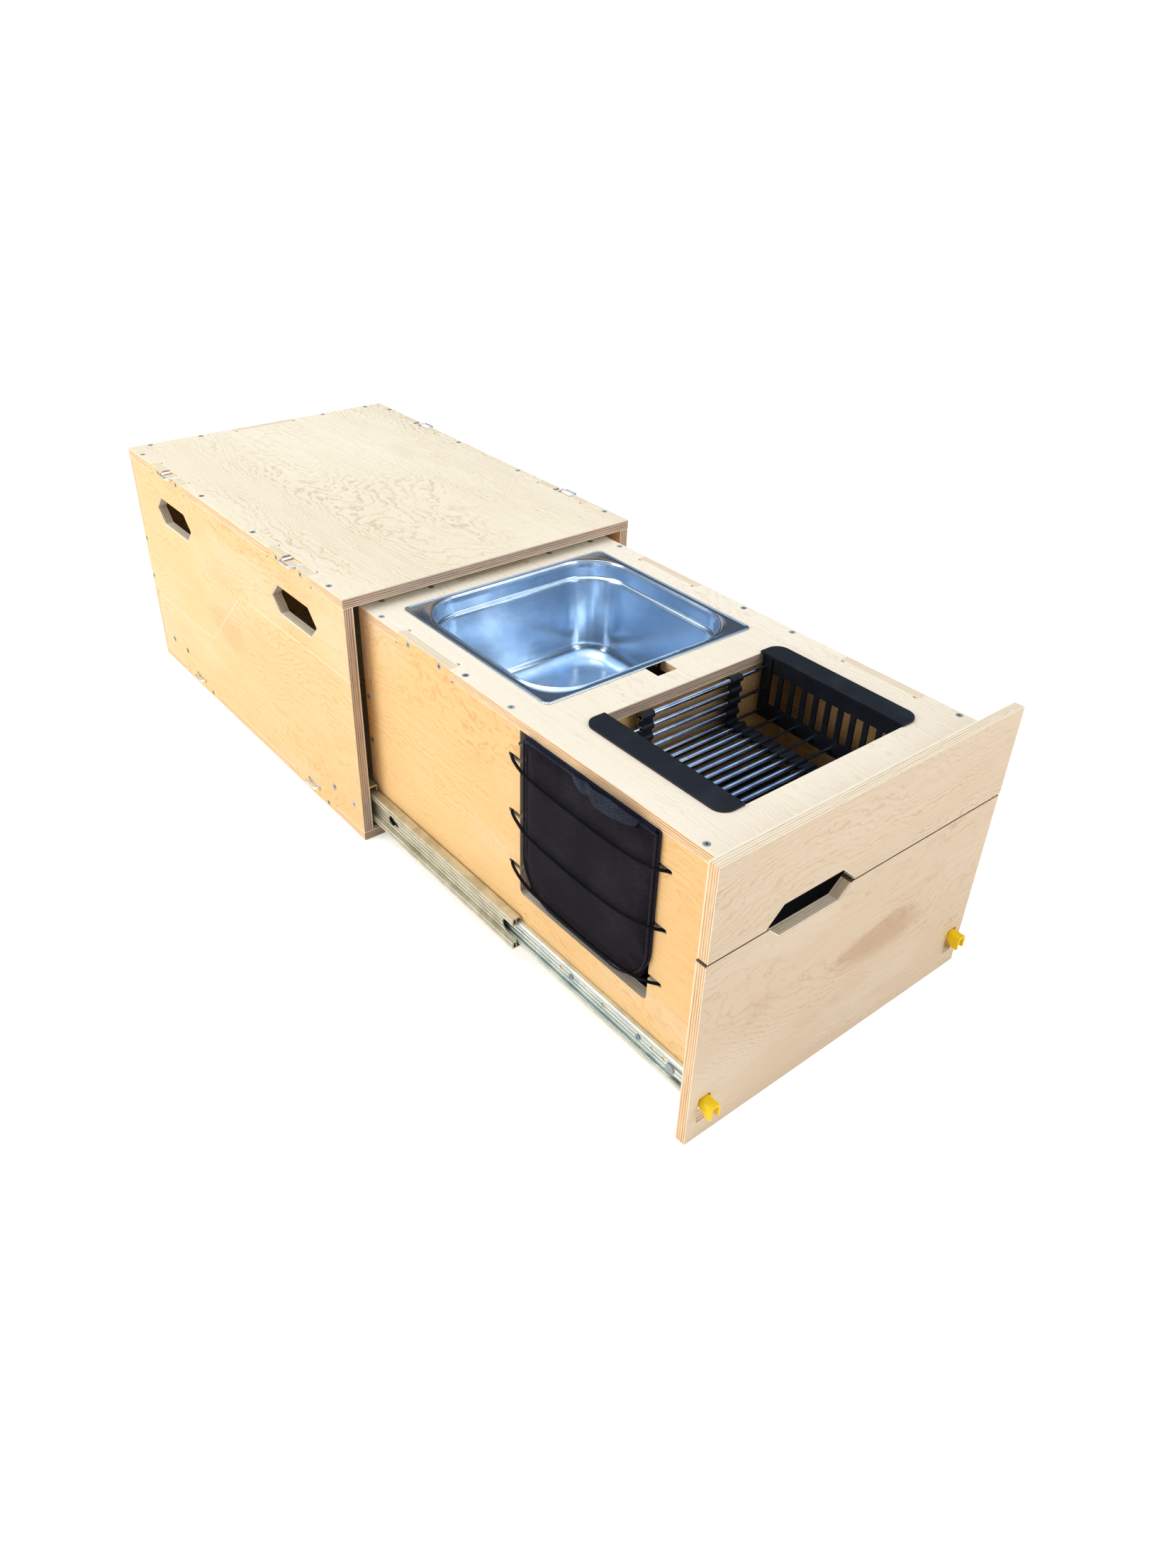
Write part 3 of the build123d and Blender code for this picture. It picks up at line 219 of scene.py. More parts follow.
class Shaders:
    """The effects that more than one finish uses."""

    def __init__(self) -> None:
        """Build every shared effect."""
        self.veneer = self._veneer()
        self.layers = self._layers()
        self.brushing = self._brushing()
        self.weave = self._weave()
        self.wear = self._wear()

    @staticmethod
    def _veneer() -> Recipe:
        """Build rotary-cut birch: contour lines of a slow field, fine fibres, flecks and mineral stains.

        The field is a rise across the grain, plus a slow noise, plus a ripple and a fine jag, and a line
        is drawn at the end of each whole step of it. Near the eye, 1 / (1 + d * d) lifts it into a swirl.

        Returns:
            The effect, with Color, Roughness and Height.
        """
        made = Recipe("Rotary veneer", {"Vector": (0.0, 0.0, 0.0), "Light": (1.0, 1.0, 1.0, 1.0),
                                        "Line": (0.5, 0.4, 0.3, 1.0), "Stain": (0.5, 0.4, 0.3, 1.0),
                                        "Figure": 0.5, "Stains": 0.0, "Eye": (9.0, 9.0, 0.0)},
                      {"Color": "Color", "Roughness": "Float", "Height": "Float"})
        g, given = made.graph, made.given
        spot = given["Vector"]
        away = g.add("VectorMath", {0: spot, 1: given["Eye"]}, operation="SUBTRACT").outputs[0]
        off = g.add("VectorMath", {0: g.stretch(away, (9.0, 19.0, 0.0))}, operation="LENGTH").outputs["Value"]
        eye = g.math("DIVIDE", 1.0, g.math("ADD", 1.0, g.math("MULTIPLY", off, off)))
        slow = g.math("ADD", g.noise(spot, (1.9, 4.6, 1.0), 1.0, 0.4), g.math("MULTIPLY", eye, 0.22))
        ripple = g.noise(spot, (14.0, 24.0, 1.0), 3.0, 0.6)
        jag = g.noise(spot, (64.0, 90.0, 1.0), 2.0, 0.6)
        level = g.math("MULTIPLY", g.split(spot)[1], 84.0)
        height = g.math("ADD", g.math("MULTIPLY", slow, 38.0), g.math("MULTIPLY", ripple, 5.0))
        height = g.math("ADD", height, level)
        ring = g.math("FRACT", g.math("ADD", height, g.math("MULTIPLY", jag, 1.1)))
        line = g.math("MULTIPLY", g.step(ring, 0.58, 0.93), g.math("SUBTRACT", 1.0, g.step(ring, 0.93, 1.0)))
        broken = g.step(g.noise(spot, (9.0, 26.0, 1.0), 3.0, 0.6), 0.36, 0.60)
        faint = g.math("MULTIPLY", g.math("ADD", 0.2, g.step(g.noise(spot, (2.4, 6.0, 1.0), 2.0), 0.36, 0.62)),
                       g.math("ADD", 0.3, g.math("MULTIPLY", broken, 0.7)))
        lines = g.math("MULTIPLY", g.math("MULTIPLY", line, faint), given["Figure"])
        fibre = g.noise(spot, (7.0, 420.0, 1.0), 3.0, 0.6)
        fleck = g.step(g.noise(spot, (70.0, 900.0, 1.0), 1.0), 0.62, 0.72)
        cloud = g.noise(spot, (1.2, 3.2, 1.0), 2.0)
        color = g.mix(g.math("MULTIPLY", g.step(cloud, 0.3, 0.75), 0.22), given["Light"], given["Line"])
        color = g.mix(lines, color, given["Line"])
        color = g.mix(g.math("MULTIPLY", g.step(fibre, 0.42, 0.72), 0.22), color, given["Line"])
        color = g.mix(g.math("MULTIPLY", fleck, 0.20), color, given["Stain"])
        blotch = g.step(g.noise(spot, (4.5, 9.0, 1.0), 4.0, 0.55), 0.56, 0.72)
        color = g.mix(g.math("MULTIPLY", blotch, given["Stains"]), color, given["Stain"])
        smudge = g.step(g.math("ADD", eye, g.noise(spot, (7.0, 30.0, 1.0), 3.0, 0.6)), 1.05, 1.45)
        smudge = g.math("MULTIPLY", smudge, g.math("MULTIPLY", given["Stains"], 2.0))
        color = g.mix(smudge, color, given["Stain"])
        sheen = g.step(g.noise(spot, (3.0, 7.0, 3.0), 2.0), 0.52, 0.72)
        color = g.mix(g.math("MULTIPLY", sheen, 0.16), color, (0.95, 0.93, 0.88, 1.0))
        g.feed(color, made.made["Color"])
        g.feed(g.math("ADD", 0.46, g.math("MULTIPLY", fibre, 0.18)), made.made["Roughness"])
        g.feed(g.math("ADD", fibre, g.math("MULTIPLY", line, 0.25)), made.made["Height"])
        return made

    @staticmethod
    def _layers() -> Recipe:
        """Build a cut plywood edge: layers in turn along and across the grain, with dark glue lines.

        Its colours are set by the way that the cut faces, as painted light: cream and orange sideways where
        the warm light falls, greyer and shaded to the front and the back, and paler above where the light falls.

        Returns:
            The effect, with Color and Height.
        """
        made = Recipe("Plywood layers", {"Depth": 0.5, "Vector": (0.0, 0.0, 0.0), "Normal": (0.0, 0.0, 1.0)},
                      {"Color": "Color", "Height": "Float"})
        g, given = made.graph, made.given
        place = g.split(given["Vector"])
        within = g.math("MULTIPLY", given["Depth"], 9.0)
        drift = g.noise(given["Vector"], (11.0, 11.0, 11.0), 3.0, 0.6)
        wander = g.math("MULTIPLY", g.math("SUBTRACT", drift, 0.5), 1.3)
        depth = g.math("ADD", g.math("ADD", within, wander), 0.5)
        turn = g.math("FRACT", g.math("MULTIPLY", depth, 0.5))
        end = g.math("MULTIPLY", g.step(turn, 0.46, 0.62), g.math("SUBTRACT", 1.0, g.step(turn, 0.86, 0.98)))
        along = g.join(g.math("MULTIPLY", within, 0.016), g.math("ADD", place[0], place[1]), place[2])
        streak = g.noise(along, (260.0, 60.0, 60.0), 3.0, 0.65)
        # Painted light: the cut's colours turn with the way that it faces, paler on top, cream and orange
        # sideways, greyer to the front and the back.
        facing = g.split(given["Normal"])
        front = g.step(g.math("ABSOLUTE", facing[1]), 0.35, 0.75)
        painted_top_light_mask = g.step(g.math("ABSOLUTE", facing[2]), 0.5, 0.85)

        def shade(side: tuple, face: tuple, top: tuple) -> bpy.types.NodeSocket:
            """Return the cut's colour, with painted light, from those for a sideways, a forward and a top-facing
            cut.
            """
            return g.mix(painted_top_light_mask, g.mix(front, tone(*side), tone(*face)), tone(*top))

        long = shade((244, 218, 182), (208, 190, 174), (238, 230, 214))
        dark = shade((214, 156, 108), (150, 122, 108), (206, 190, 168))
        glue = shade((128, 76, 50), (92, 66, 58), (142, 120, 100))
        uneven = g.step(g.noise(along, (90.0, 12.0, 12.0), 3.0, 0.6), 0.34, 0.62)
        color = g.mix(g.math("MULTIPLY", end, g.math("ADD", 0.30, g.math("MULTIPLY", uneven, 0.70))), long, dark)
        apart = g.math("ABSOLUTE", g.math("SUBTRACT", g.math("FRACT", depth), 0.5))
        seam = g.math("MULTIPLY", g.step(apart, 0.36, 0.5), g.step(streak, 0.36, 0.56))
        color = g.mix(g.math("MULTIPLY", seam, 0.55), color, glue)
        pore = g.math("MULTIPLY", end, g.step(streak, 0.50, 0.68))
        color = g.mix(g.math("MULTIPLY", pore, 0.40), color, glue)
        g.feed(color, made.made["Color"])
        g.feed(g.math("SUBTRACT", streak, end), made.made["Height"])
        return made

    @staticmethod
    def _brushing() -> Recipe:
        """Build drawn or rolled metal: fine streaks along the first axis and slow cloudy tarnish.

        Returns:
            The effect, with Color, Roughness and Height.
        """
        made = Recipe("Drawn metal", {"Vector": (0.0, 0.0, 0.0), "Base": (0.6, 0.6, 0.6, 1.0),
                                      "Tarnish": (0.4, 0.4, 0.4, 1.0), "Roughness": 0.3, "Spread": 0.15},
                      {"Color": "Color", "Roughness": "Float", "Height": "Float"})
        g, given = made.graph, made.given
        streak = g.noise(given["Vector"], (6.0, 1400.0, 1400.0), 2.0, 0.6)
        cloud = g.noise(given["Vector"], (34.0, 34.0, 34.0), 4.0, 0.6)
        color = g.mix(g.step(cloud, 0.38, 0.68), given["Base"], given["Tarnish"])
        middle = g.math("SUBTRACT", g.math("ADD", streak, cloud), 1.0)
        uneven = g.math("MULTIPLY", middle, given["Spread"])
        g.feed(color, made.made["Color"])
        g.feed(g.math("ADD", given["Roughness"], uneven), made.made["Roughness"])
        g.feed(streak, made.made["Height"])
        return made

    @staticmethod
    def _weave() -> Recipe:
        """Build a twill: slanting ribs, each broken into stitches by a wave across it. The raised threads
        are painted towards the Sheen colour, a painted highlight, and lint and worn patches vary how strongly.

        Returns:
            The effect, with Color, Roughness and Height.
        """
        made = Recipe("Twill weave", {"Vector": (0.0, 0.0, 0.0), "Threads": 700.0,
                                      "Base": (0.05, 0.05, 0.05, 1.0), "Sheen": (0.1, 0.1, 0.12, 1.0)},
                      {"Color": "Color", "Roughness": "Float", "Height": "Float"})
        g, given = made.graph, made.given
        parts = g.split(given["Vector"])
        pitch = g.math("MULTIPLY", given["Threads"], TURN)
        rise = g.math("MULTIPLY", parts[2], 1.6)
        rib = g.math("SINE", g.math("MULTIPLY", g.math("ADD", parts[1], rise), pitch))
        stitch = g.math("SINE", g.math("MULTIPLY", g.math("SUBTRACT", parts[1], parts[2]), pitch))
        swell = g.math("ADD", 0.35, g.math("MULTIPLY", stitch, 0.15))
        raised = g.math("ADD", 0.5, g.math("MULTIPLY", rib, swell))
        lint = g.noise(given["Vector"], (260.0, 260.0, 260.0), 3.0)
        worn = g.step(g.noise(given["Vector"], (16.0, 16.0, 16.0), 3.0), 0.4, 0.7)
        dusty = g.math("ADD", g.math("MULTIPLY", lint, 0.9), g.math("MULTIPLY", worn, 0.3))
        # Painted highlight on the raised threads, varied by lint and wear.
        raised_highlight_and_dust = g.math("MULTIPLY", raised, dusty)
        color = g.mix(raised_highlight_and_dust, given["Base"], given["Sheen"])
        g.feed(color, made.made["Color"])
        g.feed(g.math("ADD", 0.66, g.math("MULTIPLY", lint, 0.25)), made.made["Roughness"])
        g.feed(raised, made.made["Height"])
        return made

    @staticmethod
    def _wear() -> Recipe:
        """Build moulded plastic: a fine pitted grain with slow dusty patches.

        Returns:
            The effect, with Color, Roughness and Height.
        """
        made = Recipe("Moulded grain", {"Vector": (0.0, 0.0, 0.0), "Base": (0.1, 0.1, 0.1, 1.0),
                                        "Dust": (0.3, 0.3, 0.3, 1.0), "Roughness": 0.45, "Dusting": 0.1},
                      {"Color": "Color", "Roughness": "Float", "Height": "Float"})
        g, given = made.graph, made.given
        pits = g.noise(given["Vector"], (1500.0, 1500.0, 1500.0), 2.0)
        patch = g.step(g.noise(given["Vector"], (22.0, 22.0, 22.0), 4.0, 0.6), 0.45, 0.75)
        color = g.mix(g.math("MULTIPLY", patch, given["Dusting"]), given["Base"], given["Dust"])
        g.feed(color, made.made["Color"])
        g.feed(g.math("ADD", given["Roughness"], g.math("MULTIPLY", patch, 0.12)), made.made["Roughness"])
        g.feed(pits, made.made["Height"])
        return made


# ---------------------------------------------------------------- finishes


class Axis(Enum):
    """An axis of the box, as its place in a vector."""

    X = 0
    Y = 1
    Z = 2


def new_material(name: str) -> tuple[bpy.types.Material, Graph, bpy.types.Node]:
    """Make an empty material.

    Args:
        name: the material's name.

    Returns:
        The material, the graph of its tree and its Principled shader.
    """
    material = bpy.data.materials.new(name)
    material.use_nodes = True
    graph = Graph(material.node_tree)
    return material, graph, material.node_tree.nodes["Principled BSDF"]


def turned(graph: Graph, along: Axis) -> bpy.types.NodeSocket:
    """Turn the surface point so that the axis that the grain follows comes first.

    Args:
        graph: the graph of the material's tree.
        along: the axis that the grain follows.

    Returns:
        The turned point.
    """
    parts = graph.split(graph.place())
    order = {Axis.X: (0, 1, 2), Axis.Y: (1, 0, 2), Axis.Z: (2, 0, 1)}[along]
    return graph.join(*[parts[index] for index in order])


@dataclass(frozen=True)
class Veneer:
    """The colours of one kind of birch face, and how strong its lines and its stains are."""

    light: tuple
    line: tuple
    stain: tuple
    figure: float = 0.5
    stains: float = 0.0


FAR = 9.0
APART = 40.0
# Painted light: these are one birch veneer in brighter and darker copies. The palest go on the level sheets and
# the drawer's top, warm yellow and orange copies on the upright sheets as if a warm light falls on them, and a
# greyer, browner copy on the fronts as painted shade. Their figure and stains differ as well.
PALE_PAINTED_TOP_LIGHT = Veneer(tone(245, 240, 224), tone(206, 188, 160), tone(190, 166, 136), 0.62)
PLAIN_PAINTED_TOP_LIGHT = Veneer(tone(245, 241, 231), tone(218, 204, 180), tone(200, 178, 150), 0.36, 0.04)
HONEY_PAINTED_UPRIGHT_LIGHT = Veneer(tone(243, 211, 162), tone(214, 166, 106), tone(188, 132, 76), 0.48, 0.08)
AMBER_PAINTED_UPRIGHT_LIGHT = Veneer(tone(244, 208, 153), tone(214, 160, 94), tone(186, 126, 68), 0.44, 0.10)
TAN_PAINTED_FRONT_SHADE = Veneer(tone(232, 215, 192), tone(202, 176, 148), tone(184, 144, 108), 0.54, 0.22)


@dataclass(frozen=True)
class Plywood:
    """A plywood sheet: which way it is thick, which way its grain runs, and its veneer.

    The eye is where its figure swirls, along and across the grain, and the seam is the height of a
    joint whose cut edges get painted shade. Both lie far outside the box where a sheet has none.
    """

    node: str
    thick: Axis
    grain: Axis
    veneer: Veneer
    eye: tuple[float, float] = (FAR, FAR)
    seam: float = FAR

    def material(self, shaders: Shaders) -> bpy.types.Material:
        """Make veneer on the two faces and layers on every cut edge, with a painted highlight in routed lines
        and painted shade on the cut edges at the seam.

        A cut is told from a face by its normal, and by its depth where a line is routed into a face.

        Args:
            shaders: the shared effects.

        Returns:
            The sheet's material.
        """
        low, high = (corner[self.thick.value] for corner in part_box(self.node))
        made, g, shader = new_material("plywood_" + self.node)
        parts = g.split(g.place())
        depth = g.math("DIVIDE", g.math("SUBTRACT", parts[self.thick.value], low), high - low)
        across = [axis for axis in Axis if axis not in (self.thick, self.grain)][0]
        layer = low * APART
        spot = g.join(parts[self.grain.value], parts[across.value], layer)
        face = shaders.veneer.use(g, {"Vector": spot, "Light": self.veneer.light, "Line": self.veneer.line,
                                      "Stain": self.veneer.stain, "Figure": self.veneer.figure,
                                      "Stains": self.veneer.stains, "Eye": (*self.eye, layer)})
        facing = g.add("TexCoord").outputs["Normal"]
        edge = shaders.layers.use(g, {"Depth": depth, "Vector": g.place(), "Normal": facing})
        flat = g.step(g.math("ABSOLUTE", g.split(facing)[self.thick.value]), 0.86, 0.94)
        shallow = g.step(g.math("ABSOLUTE", g.math("SUBTRACT", depth, 0.5)), 0.44, 0.47)
        on_face = g.math("MULTIPLY", flat, shallow)
        routed = g.math("MULTIPLY", flat, g.math("SUBTRACT", 1.0, shallow))
        # Painted shade: cut edges within about 1.5 mm of the seam's height are darkened, as the gap between two
        # sheets is.
        seam_painted_shade_mask = g.step(g.math("ABSOLUTE", g.math("SUBTRACT", parts[2], self.seam)), 0.0016, 0.0012)
        # Painted highlight, partly real: the outer layer of every cut and the floor of a routed line are painted
        # near white. This is the pale birch, pushed brighter so that a routed line shows as a bright line.
        outer = g.step(g.math("ABSOLUTE", g.math("SUBTRACT", depth, 0.5)), 0.42, 0.44)
        cut_colour_with_painted_light = g.mix(g.math("MULTIPLY", outer, 0.85), edge["Color"], tone(255, 244, 224))
        cut_colour_with_painted_light = g.mix(routed, cut_colour_with_painted_light, tone(255, 252, 244))
        cut_colour_with_painted_light = g.mix(g.math("MULTIPLY", seam_painted_shade_mask, 0.85), cut_colour_with_painted_light, tone(52, 40, 34))
        g.feed(g.mix(on_face, cut_colour_with_painted_light, face["Color"]), shader.inputs["Base Color"])
        rough = g.mix(on_face, (0.72, 0.72, 0.72, 1.0), face["Roughness"])
        g.feed(rough, shader.inputs["Roughness"])
        height = g.mix(on_face, edge["Height"], face["Height"])
        g.feed(g.bump(height, 0.16, COARSE_BUMP), shader.inputs["Normal"])
        shader.inputs["Specular IOR Level"].default_value = 0.38
        return made


@dataclass(frozen=True)
class Metal:
    """A plated, drawn or polished metal.

    Where it is rolled with ribs, that is how many there are in a metre of height.
    """

    name: str
    base: tuple
    tarnish: tuple
    roughness: float
    along: Axis = Axis.Y
    spread: float = 0.15
    bump: float = 0.03
    ribs: float = 0.0
    metallic: float = 1.0

    def material(self, shaders: Shaders) -> bpy.types.Material:
        """Make streaked metal with a cloudy plating.

        Args:
            shaders: the shared effects.

        Returns:
            The metal's material.
        """
        made, g, shader = new_material(self.name)
        out = shaders.brushing.use(g, {"Vector": turned(g, self.along), "Base": self.base,
                                       "Tarnish": self.tarnish, "Roughness": self.roughness,
                                       "Spread": self.spread})
        g.feed(out["Color"], shader.inputs["Base Color"])
        g.feed(out["Roughness"], shader.inputs["Roughness"])
        fine = g.bump(out["Height"], self.bump, FINE_BUMP)
        g.feed(g.rolled(fine, self.ribs) if self.ribs else fine, shader.inputs["Normal"])
        shader.inputs["Metallic"].default_value = self.metallic
        return made


@dataclass(frozen=True)
class Plastic:
    """A moulded plastic."""

    name: str
    base: tuple
    dust: tuple
    roughness: float
    dusting: float = 0.1
    bump: float = 0.08
    coat: float = 0.0

    def material(self, shaders: Shaders) -> bpy.types.Material:
        """Make plastic with a fine grain and dusty patches.

        Args:
            shaders: the shared effects.

        Returns:
            The plastic's material.
        """
        made, g, shader = new_material(self.name)
        out = shaders.wear.use(g, {"Vector": g.place(), "Base": self.base, "Dust": self.dust,
                                   "Roughness": self.roughness, "Dusting": self.dusting})
        g.feed(out["Color"], shader.inputs["Base Color"])
        g.feed(out["Roughness"], shader.inputs["Roughness"])
        g.feed(g.bump(out["Height"], self.bump, FINE_BUMP), shader.inputs["Normal"])
        shader.inputs["Coat Weight"].default_value = self.coat
        return made


@dataclass(frozen=True)
class Fabric:
    """A woven cloth, webbing or braid."""

    name: str
    base: tuple
    # The colour that the raised threads are painted towards, a painted highlight.
    sheen: tuple
    threads: float
    bump: float = 0.5

    def material(self, shaders: Shaders) -> bpy.types.Material:
        """Make a twill with a faint sheen, and painted highlights on its raised threads.

        Args:
            shaders: the shared effects.

        Returns:
            The cloth's material.
        """
        made, g, shader = new_material(self.name)
        out = shaders.weave.use(g, {"Vector": g.place(), "Threads": self.threads, "Base": self.base,
                                    "Sheen": self.sheen})
        g.feed(out["Color"], shader.inputs["Base Color"])
        g.feed(out["Roughness"], shader.inputs["Roughness"])
        g.feed(g.bump(out["Height"], self.bump, COARSE_BUMP), shader.inputs["Normal"])
        shader.inputs["Sheen Weight"].default_value = 0.03
        shader.inputs["Specular IOR Level"].default_value = 0.12
        return made


# ---------------------------------------------------------------- meshes


def grid_faces(rows: int, columns: int, closed: bool) -> np.ndarray:
    """Join a grid of points into quads.

    Args:
        rows: how many rows of points there are.
        columns: how many points there are in a row.
        closed: whether the last column is joined to the first.

    Returns:
        The quads as rows of four vertex numbers.
    """
    wide = columns if closed else columns - 1
    row, column = np.meshgrid(np.arange(rows - 1), np.arange(wide), indexing="ij")
    after = (column + 1) % columns
    quads = [row * columns + column, row * columns + after,
             (row + 1) * columns + after, (row + 1) * columns + column]
    return np.stack(quads, axis=-1).reshape(-1, 4)


def make_piece(name: str, points: np.ndarray, faces: list, material: bpy.types.Material) -> bpy.types.Object:
    """Make a smoothly shaded mesh object at the origin.

    Args:
        name: the piece's name.
        points: its vertices, n by 3, in metres.
        faces: its faces as lists of vertex numbers.
        material: its finish.

    Returns:
        The new object, linked into the scene.
    """
    mesh = bpy.data.meshes.new(name)
    mesh.from_pydata(points.tolist(), [], faces)
    mesh.validate()
    mesh.polygons.foreach_set("use_smooth", np.full(len(mesh.polygons), True))
    mesh.materials.append(material)
    piece = bpy.data.objects.new(name, mesh)
    bpy.context.scene.collection.objects.link(piece)
    return piece


def fan(middle: int, start: int, around: int) -> np.ndarray:
    """Join a ring of points to a middle point.

    Args:
        middle: the number of the middle point.
        start: the number of the ring's first point.
        around: how many points the ring has.

    Returns:
        The triangles as rows of three vertex numbers.
    """
    turn = np.arange(around)
    return np.stack([np.full(around, middle), start + turn, start + (turn + 1) % around], -1)


def swept(rings: np.ndarray, capped: bool) -> tuple[np.ndarray, list]:
    """Join rings of points into a tube.

    Args:
        rings: the rings, count by around by 3.
        capped: whether each end is closed by a fan about its middle.

    Returns:
        Its points, and its faces as lists of vertex numbers.
    """
    count, around = rings.shape[:2]
    points = rings.reshape(-1, 3)
    faces = grid_faces(count, around, True).tolist()
    if capped:
        points = np.vstack([points, rings[0].mean(0), rings[-1].mean(0)])
        faces += fan(count * around, 0, around)[:, [0, 2, 1]].tolist()
        faces += fan(count * around + 1, (count - 1) * around, around).tolist()
    return points, faces


def tube_rings(path: np.ndarray, radius: float, around: int, closed: bool) -> np.ndarray:
    """Carry a circle along a path, square to it.

    The circle at each point is radius * (cos a * side + sin a * up), where side and up are square to
    the path's direction there.

    Args:
        path: the points of the path.
        radius: the circle's radius.
        around: how many points the circle has.
        closed: whether the path's end meets its start.

    Returns:
        The circles, as many as the path's points.
    """
    ahead = np.roll(path, -1, 0) - np.roll(path, 1, 0)
    if not closed:
        ahead[0], ahead[-1] = path[1] - path[0], path[-1] - path[-2]
    ahead /= np.linalg.norm(ahead, axis=1, keepdims=True)
    spread = np.abs(ahead).mean(0)
    guide = np.eye(3)[int(np.argmin(spread))]
    side = np.cross(ahead, guide)
    side /= np.linalg.norm(side, axis=1, keepdims=True)
    up = np.cross(side, ahead)
    angle = np.linspace(0, TURN, around, endpoint=False)
    wheel = np.cos(angle)[None, :, None] * side[:, None] + np.sin(angle)[None, :, None] * up[:, None]
    return path[:, None] + radius * wheel


def rounded_outline(half_a: float, half_b: float, radii: tuple, arc: int, straight: int) -> np.ndarray:
    """Draw a closed outline with a round corner in each quadrant, anticlockwise.

    Each corner is an arc of its own radius about a centre set in from both sides; the straights between
    are shared out evenly, so outlines of any size have the same number of points.

    Args:
        half_a: half its width.
        half_b: half its height.
        radii: the radius of the corner in each quadrant.
        arc: how many points a corner has.
        straight: how many points lie between two corners.

    Returns:
        The outline's points, n by 2.
    """
    signs = ((1, 1), (-1, 1), (-1, -1), (1, -1))
    runs = []
    for index, (sign, radius) in enumerate(zip(signs, radii)):
        angle = np.linspace(0, TURN / 4, arc) + index * TURN / 4
        centre = np.array([sign[0] * (half_a - radius), sign[1] * (half_b - radius)])
        runs.append(centre + radius * np.stack([np.cos(angle), np.sin(angle)], -1))
    outline = []
    for index, run in enumerate(runs):
        after = runs[(index + 1) % 4][0]
        share = np.linspace(0, 1, straight + 2)[1:-1, None]
        outline += [run, run[-1] * (1 - share) + after * share]
    return np.vstack(outline)


# ---------------------------------------------------------------- pieces


